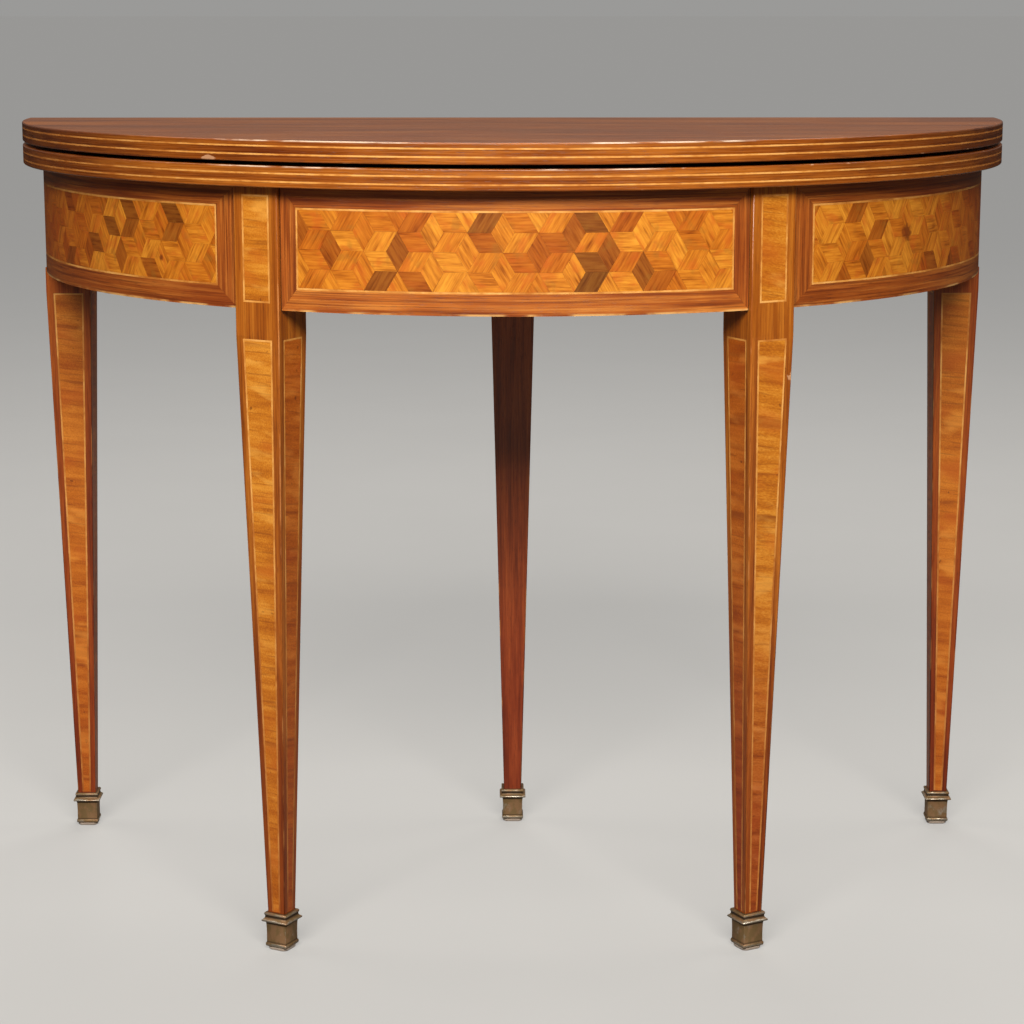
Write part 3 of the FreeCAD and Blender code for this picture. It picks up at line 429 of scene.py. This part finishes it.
def on_frieze(arc, height, radius=FRIEZE_RADIUS):
    """The point at an arc and height of the frieze's face, or straight behind it at a smaller radius."""
    angle = arc / FRIEZE_RADIUS
    return radius * math.sin(angle), HINGE_LINE - radius * math.cos(angle), height


# The knots in the parquetry and their sizes
KNOTS = ((on_frieze(-0.362, 0.661), 0.0035), (on_frieze(0.424, 0.681), 0.011))


def parquetry_finish():
    """Each block has a tone of its own, from golden orange to olive brown."""
    finish = Finish("parquetry")
    uv = finish.add("UVMap", {"uv_map": "grain"})
    tone = finish.mark("tone")
    ground = finish.ramp(tone, (0.0, tint(234, 156, 48)), (0.35, tint(220, 136, 36)),
                         (0.65, tint(196, 106, 24)), (0.85, tint(166, 94, 26)), (1.0, tint(132, 78, 22)))
    broad = finish.noise(uv, (16.0, 240.0, 0.0), 4.0, 0.6)
    fine = finish.noise(uv, (60.0, 620.0, 0.0), 2.0)
    cloud = finish.noise(uv, (38.0, 70.0, 0.0), 2.0)
    shade = finish.ramp(broad * 0.45 + fine * 0.3 + cloud * 0.25, (0.34, tint(150, 112, 84)),
                        (0.48, tint(226, 210, 196)), (0.6, tint(255, 255, 255)))
    colour = finish.mix(1.0, ground, shade, "MULTIPLY")
    blush = finish.step(finish.noise(uv, (45.0, 90.0, 3.0), 3.0), 0.5, 0.68)
    colour = finish.mix(blush * finish.step(tone, 0.85, 0.6) * 0.5, colour, tint(196, 90, 26))
    olive = finish.step(finish.noise(uv, (70.0, 55.0, 7.0), 3.0), 0.56, 0.72)
    colour = finish.mix(olive * 0.38, colour, tint(150, 100, 34))
    place = finish.place()
    x, y, _ = finish.parts(place)
    ends = finish.step(abs(arc_along(x, y, LEAF_RADIUS)), 0.42, 0.64)
    colour = finish.mix(ends, colour, tint(236, 206, 196), "MULTIPLY")
    for eye, size in KNOTS:
        away = finish.add("VectorMath", {"operation": "DISTANCE"}, {0: place, 1: eye}, "Value")
        ragged = away + (finish.noise(place, (240.0, 240.0, 240.0), 2.0) - 0.5) * size
        knot = finish.step(ragged, size, size * 0.35)
        colour = finish.mix(knot * 0.8, colour, tint(104, 40, 14))
    return polished(finish, colour, 0.34 + (fine - 0.5) * 0.16, fine)


def panel_finish():
    """Figured veneer laid with its grain across the leg."""
    finish = Finish("panel_veneer")
    place = finish.place()
    x, y, z = finish.parts(place)
    sway = finish.noise(place, (5.0, 5.0, 9.0), 2.0)
    grain = finish.vector(x + y, z + (x + y) * 0.12 + sway * 0.01, x - y)
    colour, roughness, height = timber(finish, grain, GOLDEN, GOLDEN_PORE, 0.35, (9.0, 130.0, 9.0))
    dark = finish.step(finish.noise(grain, (4.0, 60.0, 4.0), 2.0), 0.62, 0.74)
    colour = finish.mix(dark * 0.55, colour, tint(138, 74, 24))
    lines = finish.step(finish.noise(grain, (14.0, 380.0, 14.0), 2.0), 0.57, 0.7)
    colour = finish.mix(lines * 0.42, colour, tint(124, 58, 16))
    flecks = finish.step(finish.noise(place, (150.0, 150.0, 150.0), 1.0), 0.74, 0.78)
    colour = finish.mix(flecks * 0.6, colour, tint(96, 46, 16))
    blush = finish.step(finish.noise(grain, (12.0, 34.0, 12.0), 3.0), 0.5, 0.7)
    colour = finish.mix(blush * 0.45, colour, tint(190, 92, 26))
    glow = finish.step(finish.noise(grain, (14.0, 60.0, 14.0), 3.0), 0.54, 0.7)
    colour = finish.mix(glow * 0.5, colour, tint(244, 176, 76))
    # Painted shade: panel faces turned to the side, away from the front light, are made darker and redder
    across = finish.parts(finish.add("TexCoord", output="Normal"))[0]
    sideways_shade = finish.step(abs(across), 0.6, 0.8)
    colour = finish.mix(sideways_shade, colour, PAINTED_SHADE_TINT, "MULTIPLY")
    # Painted shade: the panels of the legs at the back, farther from the lamps, are made darker and redder
    corner = finish.step(y, 0.1, 0.15)
    colour = finish.mix(corner, colour, tint(246, 226, 214), "MULTIPLY")
    low = finish.step(z, 0.42, 0.08)
    colour = finish.mix(low, colour, tint(238, 220, 210), "MULTIPLY")
    redder = low * finish.step(abs(x - front_leg[0]), 0.1, 0.05)
    colour = finish.mix(redder, colour, tint(220, 188, 240), "MULTIPLY")
    return polished(finish, colour, roughness, height)


def leg_finish(name, palette, pore_share):
    """Straight wood with its grain along the leg and worn arrises."""
    finish = Finish(name)
    place = finish.place()
    x, y, z = finish.parts(place)
    grain = finish.vector(z, x, y)
    figure = 2.5, 160.0, 160.0
    colour, roughness, height = timber(finish, grain, palette, MAHOGANY_PORE, pore_share, figure)
    low = finish.step(z, 0.5, 0.1)
    colour = finish.mix(low, colour, tint(216, 186, 196), "MULTIPLY")
    # Painted shade: the corner legs at the back are made darker and redder
    corner = finish.step(abs(x), 0.4, 0.42)
    colour = finish.mix(corner, colour, PAINTED_SHADE_TINT, "MULTIPLY")
    mark = finish.mark("wear")
    patches = finish.step(finish.noise(place, (60.0, 60.0, 25.0), 3.0), 0.5, 0.66)
    colour = finish.mix(mark * patches, colour, tint(190, 120, 62))
    away = finish.add("VectorMath", {"operation": "DISTANCE"}, {0: place, 1: LEG_CHIP}, "Value")
    ragged = away + (finish.noise(place, (520.0, 520.0, 300.0), 3.0) - 0.5) * 0.008
    chip = finish.step(ragged, LEG_CHIP_REACH, LEG_CHIP_HEART)
    colour = finish.mix(chip * 0.75, colour, tint(214, 160, 116))
    return polished(finish, colour, roughness, height)


def carcase_finish(name, grain_of):
    """Unpolished wood of the inner frame and the drawer."""
    finish = Finish(name)
    x, y, z = finish.parts(finish.place())
    grain = finish.vector(*grain_of(x, y, z))
    figure = 2.0, 110.0, 110.0
    colour, roughness, height = timber(finish, grain, CARCASE_WOOD, CARCASE_PORE, 0.4, figure, 0.62)
    grime = finish.noise(finish.place(), (9.0, 9.0, 9.0), 4.0)
    colour = finish.mix(finish.step(grime, 0.5, 0.75) * 0.5, colour, tint(92, 62, 40))
    return finish.surface(Base_Color=colour, Roughness=roughness, Normal=finish.relief(height, 0.00015))


def bronze_finish():
    """Old bronze: dark in the hollows, rubbed on the mouldings."""
    finish = Finish("bronze")
    place = finish.place()
    patches = finish.noise(place, (90.0, 90.0, 90.0), 4.0, 0.6)
    stain = finish.noise(place, (160.0, 160.0, 110.0), 3.0)
    fine = finish.noise(place, (900.0, 900.0, 900.0), 3.0)
    mark = finish.mark("wear")
    rub = finish.step(patches + mark * 0.26, 0.57, 0.82)
    brown = finish.mix(finish.step(stain, 0.42, 0.6), tint(132, 105, 68), tint(150, 114, 79))
    brown = finish.mix(finish.step(mark, 0.0, -1.0), brown, tint(64, 48, 33))
    colour = finish.mix(rub, brown, tint(200, 190, 172))
    roughness = 0.5 - rub * 0.14 + (fine - 0.5) * 0.2
    return finish.surface(Base_Color=colour, Roughness=roughness, Metallic=0.5 + rub * 0.45,
                          Normal=finish.relief(fine, 0.00012))


def metal_finish(name, dark, light, rough):
    """Dulled metal of the hinges and screws, drawn one way."""
    finish = Finish(name)
    place = finish.place()
    patches = finish.noise(place, (120.0, 120.0, 120.0), 4.0)
    fine = finish.noise(place, (1200.0, 200.0, 1200.0), 2.0)
    colour = finish.mix(finish.step(patches, 0.4, 0.65), dark, light)
    return finish.surface(Base_Color=colour, Roughness=rough + (fine - 0.5) * 0.25, Metallic=1.0,
                          Normal=finish.relief(fine, 0.00005))


def cloth_finish(name, dark, light, weave, depth):
    """Milled wool: a close nap with the weave just showing."""
    finish = Finish(name)
    place = finish.place()
    nap = finish.noise(place, (weave, weave, weave), 3.0, 0.7)
    patches = finish.noise(place, (14.0, 14.0, 14.0), 4.0)
    colour = finish.mix(nap * 0.6 + patches * 0.4, dark, light)
    return finish.surface(Base_Color=colour, Roughness=0.88 + (nap - 0.5) * 0.1,
                          Normal=finish.relief(nap, depth), Sheen_Weight=0.35, Sheen_Roughness=0.5,
                          Specular_IOR_Level=0.2)


LEAF = leaf_finish()
BOXWOOD = boxwood_finish()
BANDING = banding_finish()
PARQUETRY = parquetry_finish()
PANEL = panel_finish()
LEG = leg_finish("leg_wood", LEG_WOOD, 0.5)
PLAIN_LEG = leg_finish("plain_leg_wood", PLAIN_LEG_WOOD, 0.6)
ALONG_X = carcase_finish("carcase_along_x", lambda x, y, z: (x, y, z))
ALONG_Y = carcase_finish("carcase_along_y", lambda x, y, z: (y, x, z))
ALONG_Z = carcase_finish("carcase_along_z", lambda x, y, z: (z, x, y))
ROUND = carcase_finish("carcase_round", lambda x, y, z: (arc_along(x, y, FRIEZE_RADIUS), z, y))
BRONZE = bronze_finish()
BRASS = metal_finish("hinge_brass", tint(110, 82, 40), tint(186, 148, 80), 0.4)
STEEL = metal_finish("screw_steel", tint(84, 80, 76), tint(150, 147, 142), 0.45)
BAIZE = cloth_finish("baize", tint(22, 62, 36), tint(44, 96, 58), 1500.0, 0.0003)
FELT = cloth_finish("felt", tint(140, 124, 112), tint(186, 168, 152), 1200.0, 0.0004)

# The finish of each material slot, and of the nodes whose grain or wood differs from it
FINISHES = {"leaf_veneer": LEAF, "boxwood": BOXWOOD, "panel_veneer": PANEL, "bronze": BRONZE,
            "hinge_brass": BRASS, "screw_steel": STEEL, "leg_wood": LEG, "carcase_wood": ALONG_X,
            "crossbanding": BANDING, "parquetry": PARQUETRY, "baize": BAIZE, "felt": FELT}
GRAINS = {"drawer_guide_left": ALONG_Y, "drawer_guide_right": ALONG_Y, "drawer_side_left": ALONG_Y,
          "drawer_side_right": ALONG_Y, "glue_blocks": ALONG_Z, "frieze_left_rail": ROUND,
          "frieze_centre_rail": ROUND, "frieze_right_rail": ROUND, "back_centre_leg": PLAIN_LEG}
slot_of = {row["node"]: row["material_slot"] for row in frame["record"]["subparts"]}
for name, node in nodes.items():
    node.data.materials.clear()
    node.data.materials.append(GRAINS.get(name, FINISHES[slot_of[name]]))


def piece_from(mesh, name, material, body, replaced):
    """Puts a finished mesh in the place of a node."""
    mesh.materials.append(material)
    piece = bpy.data.objects.new(name, mesh)
    bpy.context.scene.collection.objects.link(piece)
    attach(piece, body)
    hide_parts(replaced)
    return piece


def closed_rings(rings, size):
    """The faces of a solid made of rings of points, each joined to the last, and closed at both ends."""
    faces = []
    for row in range(rings - 1):
        low = row * size
        high = low + size
        for step in range(size):
            after = (step + 1) % size
            faces.append((low + step, low + after, high + after, high + step))
    faces.append(tuple(reversed(range(size))))
    faces.append(tuple(range((rings - 1) * size, rings * size)))
    return faces


def clip(outline, axis, limit, side):
    """The part of a convex outline on one side of a line: side is 1 to keep what lies above the limit."""
    kept = []
    for index, point in enumerate(outline):
        before = outline[index - 1]
        here = (point[axis] - limit) * side
        there = (before[axis] - limit) * side
        if here * there < 0:
            share = there / (there - here)
            kept.append(tuple(b + (p - b) * share for b, p in zip(before, point)))
        if here >= 0:
            kept.append(point)
    return kept


def shrink(outline, gap):
    """Moves each edge of a convex counter-clockwise outline inwards."""
    lines = []
    for index, point in enumerate(outline):
        before = Vector(outline[index - 1])
        run = (Vector(point) - before).normalized()
        inward = Vector((-run.y, run.x))
        lines.append((before + inward * gap, run))
    moved = []
    for index, (start, run) in enumerate(lines):
        other, other_run = lines[(index + 1) % len(lines)]
        cross = run.cross(other_run)
        if abs(cross) < PARALLEL:
            continue
        moved.append(tuple(start + run * ((other - start).cross(other_run) / cross)))
    return moved


class Marquetry:
    """Pieces of veneer bent round the frieze in narrow columns, and gathered into one mesh."""

    COLUMN = 0.006
    JOINT = 0.00005
    CREASE = 30

    def __init__(self):
        self.points = []
        self.faces = []
        self.grain = []
        self.tone = []

    def lay(self, outline, slant, tone, shift):
        """Adds one piece, its outline given as arc and height, with its grain at a slant in degrees."""
        outline = shrink(outline, self.JOINT)
        columns = []
        low = min(spot[0] for spot in outline)
        high = max(spot[0] for spot in outline)
        count = max(1, math.ceil((high - low) / self.COLUMN))
        for step in range(count):
            left = low + (high - low) * step / count
            right = low + (high - low) * (step + 1) / count
            column = clip(clip(outline, 0, left, 1), 0, right, -1)
            if len(column) > 2:
                columns.append(column)
        keys = {}
        loops = []
        for column in columns:
            loop = []
            for spot in column:
                key = round(spot[0], 7), round(spot[1], 7)
                if key not in keys:
                    keys[key] = len(keys)
                if keys[key] not in loop:
                    loop.append(keys[key])
            if len(loop) > 2:
                loops.append(loop)
        spots = list(keys)
        first = len(self.points)
        back = first + len(spots)
        self.points += [on_frieze(*spot) for spot in spots]
        self.points += [on_frieze(*spot, FRIEZE_RADIUS - VENEER_THICK) for spot in spots]
        run = math.cos(math.radians(slant))
        rise = math.sin(math.radians(slant))
        ways = [(run * u + rise * z + shift[0], run * z - rise * u + shift[1]) for u, z in spots]

        def face(corners):
            self.faces.append([start + index for start, index in corners])
            self.grain += [ways[index] for start, index in corners]
            self.tone.append(tone)

        edges = set()
        for loop in loops:
            face([(first, index) for index in loop])
            face([(back, index) for index in reversed(loop)])
            edges.update(zip(loop, loop[1:] + loop[:1]))
        for start, end in sorted(edges):
            if (end, start) not in edges:
                face([(first, end), (first, start), (back, start), (back, end)])

    def piece(self, name, material, replaced):
        """Makes the pieces laid so far into one object in the place of a node."""
        mesh = bpy.data.meshes.new(name)
        mesh.from_pydata(self.points, [], self.faces)
        mesh.set_sharp_from_angle(angle=math.radians(self.CREASE))
        layer = mesh.uv_layers.new(name="grain")
        layer.data.foreach_set("uv", [number for way in self.grain for number in way])
        mesh.attributes.new("tone", "FLOAT", "FACE").data.foreach_set("value", self.tone)
        piece_from(mesh, name, material, "frame", replaced)


BLOCK_SIDE = 0.0211
BLOCK_ROWS = 4
SMALLEST_BLOCK = 0.0004

# Arc, height and depth of tone of the blocks cut from darker wood
LEFT_DARK = ((-0.408, 0.701, 0.9), (-0.409, 0.686, 0.85), (-0.44, 0.689, 0.92), (-0.342, 0.705, 0.95),
             (-0.344, 0.688, 0.85), (-0.468, 0.666, 0.88), (-0.422, 0.653, 0.8), (-0.372, 0.654, 0.8),
             (-0.526, 0.698, 0.75), (-0.54, 0.654, 0.85), (-0.492, 0.648, 0.75))
CENTRE_DARK = ((0.066, 0.704, 0.95), (0.046, 0.696, 0.8), (0.033, 0.689, 0.72), (0.067, 0.67, 0.95),
               (0.071, 0.652, 1.0), (0.084, 0.684, 0.85), (0.113, 0.66, 0.88), (0.097, 0.706, 0.7),
               (0.14, 0.652, 0.75), (0.018, 0.68, 0.72), (-0.117, 0.652, 0.9), (-0.09, 0.653, 0.75),
               (-0.024, 0.704, 0.9), (-0.105, 0.685, 0.85), (-0.172, 0.683, 0.78), (-0.195, 0.701, 0.8),
               (-0.09, 0.705, 0.7), (-0.029, 0.686, 0.72))
RIGHT_DARK = ((0.367, 0.668, 0.85), (0.35, 0.697, 0.78), (0.389, 0.69, 0.78), (0.461, 0.653, 0.82),
              (0.521, 0.65, 0.85), (0.324, 0.645, 0.75))


def middle_of(corners):
    """The middle of a block's four corners."""
    return sum(u for u, z in corners) / 4, sum(z for u, z in corners) / 4


def span(outline, axis):
    """How far an outline reaches along one axis."""
    return max(spot[axis] for spot in outline) - min(spot[axis] for spot in outline)


def tumbling_blocks(side, start, end, first_column, dark_blocks, seed):
    """Fills a field with rhombic blocks: upright ones, and two leaning kinds, some of them dark."""
    draw = random.Random(seed)
    base = FRIEZE_BASE + FIELD_RISE + STRING_WIDTH
    top = FRIEZE_TOP - FIELD_DROP - STRING_WIDTH
    row = (top - base) / BLOCK_ROWS
    half = BLOCK_SIDE / 2
    pitch = BLOCK_SIDE + half
    steep = math.degrees(math.atan2(row, half))
    shapes = (([(0, -row), (half, 0), (0, row), (-half, 0)], 180 - steep),
              ([(half, 0), (pitch, 0), (BLOCK_SIDE, row), (0, row)], 0),
              ([(0, -row), (BLOCK_SIDE, -row), (pitch, 0), (half, 0)], steep))
    work = Marquetry()
    lowest = math.floor((start - first_column) / pitch) - 1
    highest = math.ceil((end - first_column) / pitch) + 1
    blocks = []
    for column in range(lowest, highest + 1):
        for level in range(-1, BLOCK_ROWS + 2):
            if (column + level) % 2:
                continue
            for shape, slant in shapes:
                corners = [(first_column + column * pitch + u, base + level * row + z) for u, z in shape]
                shift = draw.uniform(-4, 4), draw.uniform(-4, 4)
                blocks.append([corners, slant, draw.uniform(0.0, 0.62), shift])
    for arc, height, tone in dark_blocks:
        nearest = min(blocks, key=lambda block: math.dist(middle_of(block[0]), (arc, height)))
        nearest[2] = tone
    for corners, slant, tone, shift in blocks:
        for axis, limit, keep in ((0, start, 1), (0, end, -1), (1, base, 1), (1, top, -1)):
            corners = clip(corners, axis, limit, keep) if len(corners) > 2 else []
        if len(corners) > 2 and min(span(corners, 0), span(corners, 1)) > SMALLEST_BLOCK:
            work.lay(corners, slant, tone, shift)
    work.piece(f"{side}_tumbling_blocks", PARQUETRY, f"frieze_{side}_parquetry")


def mitred_border(side, start, end, window_start, window_end, seed):
    """Four lengths of banding round a field, with their grain along them."""
    draw = random.Random(seed)
    sill = FRIEZE_BASE + FIELD_RISE
    head = FRIEZE_TOP - FIELD_DROP
    outer = [(start, FRIEZE_BASE), (end, FRIEZE_BASE), (end, FRIEZE_TOP), (start, FRIEZE_TOP)]
    inner = [(window_start, sill), (window_end, sill), (window_end, head), (window_start, head)]
    work = Marquetry()
    # Tones of the bottom length, one end, the top and the other end; the top length's darker tone is
    # painted shade under the leaves' overhang
    for index, tone in enumerate((0.0 if side == "centre" else 0.55, 0.3, 0.4, 0.3)):
        after = (index + 1) % 4
        outline = [outer[index], outer[after], inner[after], inner[index]]
        work.lay(outline, 90 * index, tone, (draw.uniform(-4, 4), draw.uniform(-4, 4)))
    work.piece(f"{side}_mitred_banding", BANDING, f"frieze_{side}_banding")


# The three lengths of the frieze: ends, window, a column of blocks, dark blocks and seed of the draws
FIELDS = (("left", -side_end, -side_start, -back_window, -side_window, -0.330, LEFT_DARK, 11),
          ("centre", -centre_end, centre_end, -centre_window, centre_window, 0.0205, CENTRE_DARK, 5),
          ("right", side_start, side_end, side_window, back_window, 0.330, RIGHT_DARK, 23))
for side, start, end, window_start, window_end, first_column, dark_blocks, seed in FIELDS:
    mitred_border(side, start, end, window_start, window_end, seed)
    field_start = window_start + STRING_WIDTH
    field_end = window_end - STRING_WIDTH
    tumbling_blocks(side, field_start, field_end, first_column, dark_blocks, seed)


def leg_arris(place, turn):
    """A test of whether an edge is one of the four long corners of a leg."""
    spin = Matrix.Rotation(-math.radians(turn), 3, "Z")
    centre = Vector((*place, 0))

    def test(edge):
        if edge.calc_length() < SHORTEST_ARRIS or edge.calc_face_angle(0) < math.radians(LEAST_ARRIS_FOLD):
            return False
        for vert in edge.verts:
            if not SHOE_TOP - LEVEL_SLACK < vert.co.z < FRIEZE_TOP + LEVEL_SLACK:
                return False
            local = spin @ (vert.co - centre)
            rise = min(1.0, (vert.co.z - SHOE_TOP) / (TAPER_TOP - SHOE_TOP))
            half = (LEG_TOE_WIDTH + (LEG_WIDTH - LEG_TOE_WIDTH) * rise) / 2
            if max(abs(abs(local.x) - half), abs(abs(local.y) - half)) > WIDTH_SLACK:
                return False
        return abs(edge.verts[0].co.z - edge.verts[1].co.z) > LEAST_ARRIS_RISE

    return test


def worn_leg(foot, place, turn, body):
    """A copy of a leg with its arrises rounded and marked as worn."""
    is_arris = leg_arris(place, turn)
    solid = bmesh.new()
    solid.from_mesh(nodes[f"{foot}_leg"].data)
    bmesh.ops.remove_doubles(solid, verts=solid.verts, dist=SAME_POINT)
    bmesh.ops.dissolve_limit(solid, angle_limit=math.radians(FLAT_ANGLE), verts=solid.verts,
                             edges=solid.edges)
    mark = solid.faces.layers.float.new("wear")
    arrises = [edge for edge in solid.edges if edge.is_manifold and edge.is_convex and is_arris(edge)]
    rounded = bmesh.ops.bevel(solid, geom=arrises, offset=LEG_ARRIS_ROUND, offset_type="OFFSET", segments=2,
                              profile=0.5, affect="EDGES", clamp_overlap=True)
    for face in rounded["faces"]:
        face[mark] = 1.0
        face.smooth = True
    mesh = bpy.data.meshes.new(f"{foot}_worn_leg")
    solid.to_mesh(mesh)
    solid.free()
    material = PLAIN_LEG if foot == "back_centre" else LEG
    piece_from(mesh, f"{foot}_worn_leg", material, body, f"{foot}_leg")


# The legs: place, turn about the upright in degrees, and the body that carries each
LEGS = (("front_left", (-front_leg[0], front_leg[1]), -STILE_ANGLE, "frame"),
        ("front_right", front_leg, STILE_ANGLE, "frame"),
        ("back_left", (-CORNER_LEG[0], CORNER_LEG[1]), 0, "frame"),
        ("back_right", CORNER_LEG, 0, "frame"),
        ("back_centre", FIFTH_LEG, 0, "drawer_leg"))

# The shoe's mouldings as half width, rise, and wear of the band above, which below 0 is a dark hollow
BASE_BEAD = ((0.0112, 0.0, 0.4), (0.01155, 0.0007, 1.0), (0.01166, 0.0018, 0.6), (0.0115, 0.003, -0.3),
             (0.0111, 0.0036, -1.0))
HOLLOW_BODY = ((0.0108, 0.0038, -0.5), (0.01075, 0.005, 0.0), (0.0107, 0.012, 0.0), (0.0108, 0.018, 0.0),
               (0.011, 0.0222, -0.7), (0.01125, 0.0236, -1.0))
COLLAR_FLANGE = ((0.0119, 0.0245, -0.8), (0.013, 0.02495, -0.3), (0.01395, 0.0251, 0.6),
                 (0.0143, 0.0256, 1.0), (0.0143, 0.0263, 1.0), (0.0139, 0.0268, 0.6),
                 (0.0133, 0.0272, 0.2), (0.0126, 0.0277, -0.2))
COLLAR_GROOVE = ((0.0121, 0.0284, -0.4), (0.0118, 0.029, -1.0), (0.0117, 0.0302, -1.0),
                 (0.0118, 0.031, -1.0))
RIM_BEAD = ((0.0121, 0.0313, 0.3), (0.01235, 0.0318, 0.8), (0.01235, 0.0326, 0.4), (0.0121, 0.0334, -0.2),
            (0.0116, 0.0339, -0.5), (0.011, 0.034, -0.6))
SOCKET = ((0.00675, 0.034, 0.0), (0.00675, SOCKET_FLOOR, 0.0))
SHOE_MOULDINGS = BASE_BEAD + HOLLOW_BODY + COLLAR_FLANGE + COLLAR_GROOVE + RIM_BEAD + SOCKET
CORNER_WEAR = 0.45
SHOE_CREASE = 50


def sabot(foot, place, turn, body):
    """A cast shoe: square rings up the mouldings, over the rim and down into the socket."""
    spin = Matrix.Rotation(math.radians(turn), 3, "Z")
    foot_place = Vector((*place, PAD_THICK))
    points = []
    marks = []
    for half, rise, wear in SHOE_MOULDINGS:
        near = half - SHOE_CORNER
        corners = ((half, -near), (half, near), (near, half), (-near, half),
                   (-half, near), (-half, -near), (-near, -half), (near, -half))
        points += [foot_place + spin @ Vector((x, y, rise)) for x, y in corners]
        corner_wear = max(wear, CORNER_WEAR) if wear >= 0 else wear
        marks += [wear, corner_wear] * 4
    mesh = bpy.data.meshes.new(f"{foot}_worn_sabot")
    mesh.from_pydata(points, [], closed_rings(len(SHOE_MOULDINGS), 8))
    marks = marks[:-8] + [0.0, 0.0]
    mesh.attributes.new("wear", "FLOAT", "FACE").data.foreach_set("value", marks)
    mesh.set_sharp_from_angle(angle=math.radians(SHOE_CREASE))
    piece_from(mesh, f"{foot}_worn_sabot", BRONZE, body, f"{foot}_sabot")


# The pad's edge from the floor up, as shares of its reach and of its thickness
PAD_EDGE_SHARES = ((0.93, 0.0), (0.98, 0.15), (1.0, 0.45), (0.99, 0.8), (0.95, 1.0))
PAD_CREASE = 50


def felt_pad(foot, place, turn, body):
    """A felt square with rounded corners, its edge a little swollen where the leg presses on it."""
    points = []
    for reach, rise in PAD_EDGE_SHARES:
        for step in range(PAD_STEPS):
            angle = math.tau * (step + 0.5) / PAD_STEPS
            side = PAD_HALF / max(abs(math.cos(angle)), abs(math.sin(angle)))
            out = reach * min(side, PAD_RADIUS)
            way = angle + math.radians(turn)
            x = place[0] + out * math.cos(way)
            y = place[1] + out * math.sin(way)
            points.append((x, y, rise * PAD_THICK))
    mesh = bpy.data.meshes.new(f"{foot}_felt")
    mesh.from_pydata(points, [], closed_rings(len(PAD_EDGE_SHARES), PAD_STEPS))
    mesh.set_sharp_from_angle(angle=math.radians(PAD_CREASE))
    pad = piece_from(mesh, f"{foot}_felt", FELT, body, f"{foot}_foot_pad")


for foot, place, turn, body in LEGS:
    worn_leg(foot, place, turn, body)
    sabot(foot, place, turn, body)
    felt_pad(foot, place, turn, body)


def baize_sheet(leaf, body):
    """Baize glued to the inner face of a leaf, its cut edge a little soft."""
    low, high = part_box(f"{leaf}_baize")
    reach = LEAF_RADIUS - BAIZE_BORDER
    straight = HINGE_LINE - BAIZE_BACK_BORDER
    open_angle = math.acos(BAIZE_BACK_BORDER / reach)
    rims = ((0.0, 0.0), (0.0, 0.6), (BAIZE_SOFT_EDGE, 1.0))
    points = []
    for inset, rise in rims:
        level = rise if leaf == "lower" else 1 - rise
        for step in range(BAIZE_STEPS + 1):
            angle = open_angle * (2 * step / BAIZE_STEPS - 1)
            x = (reach - inset) * math.sin(angle)
            y = HINGE_LINE - (reach - inset) * math.cos(angle)
            points.append((x, min(y, straight - inset), low.z + (high.z - low.z) * level))
    faces = closed_rings(len(rims), BAIZE_STEPS + 1)
    if leaf == "upper":
        faces = [tuple(reversed(face)) for face in faces]
    mesh = bpy.data.meshes.new(f"{leaf}_baize_cloth")
    mesh.from_pydata(points, [], faces)
    cloth = piece_from(mesh, f"{leaf}_baize_cloth", BAIZE, body, f"{leaf}_baize")


baize_sheet("lower", "frame")
baize_sheet("upper", "fold_leaf")


def floor():
    """A pale floor that the camera sees a little lighter than the lamps make it."""
    finish = Finish("floor")
    speckle = finish.noise(finish.place(), (3.0, 3.0, 3.0), 3.0)
    seen = finish.add("LightPath", output="Is Camera Ray")
    colour = finish.mix(speckle, (0.60, 0.59, 0.57, 1), (0.66, 0.65, 0.63, 1))
    colour = finish.mix(seen, (0.15, 0.145, 0.135, 1), colour)
    finish.surface(Base_Color=colour, Roughness=0.75 + speckle * 0.1)
    finish.blend(seen * 0.5, finish.add("Emission", sockets={"Color": (0.60, 0.595, 0.58, 1)}))
    mesh = bpy.data.meshes.new("floor")
    corners = [(x * FLOOR_REACH, y * FLOOR_REACH, 0) for x, y in ((-1, -1), (1, -1), (1, 1), (-1, 1))]
    mesh.from_pydata(corners, [], [(0, 1, 2, 3)])
    mesh.materials.append(finish.material)
    ground = bpy.data.objects.new("floor", mesh)
    bpy.context.scene.collection.objects.link(ground)


def lamp(name, place, aim, size, watts):
    """A rectangular area lamp turned towards a point."""
    light = bpy.data.lights.new(name, "AREA")
    light.shape = "RECTANGLE"
    light.size, light.size_y = size
    light.energy = watts
    light.color = LAMP_COLOUR
    holder = bpy.data.objects.new(name, light)
    bpy.context.scene.collection.objects.link(holder)
    holder.location = place
    holder.rotation_euler = (Vector(aim) - Vector(place)).to_track_quat("-Z", "Y").to_euler()


def studio():
    """Dim walls all round, which polish and camera see lighter."""
    finish = Finish("studio", bpy.data.worlds)
    finish.surface(Color=(0.022, 0.0215, 0.0205, 1))
    walls = ("Is Glossy Ray", (0.15, 0.12, 0.1, 1)), ("Is Camera Ray", (0.325, 0.322, 0.314, 1))
    for ray, colour in walls:
        wall = finish.add("Background", sockets={"Color": colour})
        finish.blend(finish.add("LightPath", output=ray), wall)
    bpy.context.scene.world = finish.material


floor()
studio()
for softbox in SOFTBOXES:
    lamp(*softbox)

scene = bpy.context.scene
scene.view_settings.view_transform = "Standard"

lens = bpy.data.cameras.new("camera")
lens.sensor_width = CAMERA_SENSOR
lens.lens = CAMERA_LENS
camera = bpy.data.objects.new("camera", lens)
camera.location = CAMERA_PLACE
camera.rotation_euler = (math.radians(CAMERA_TILT), 0.0, math.radians(CAMERA_TURN))
scene.collection.objects.link(camera)
scene.camera = camera
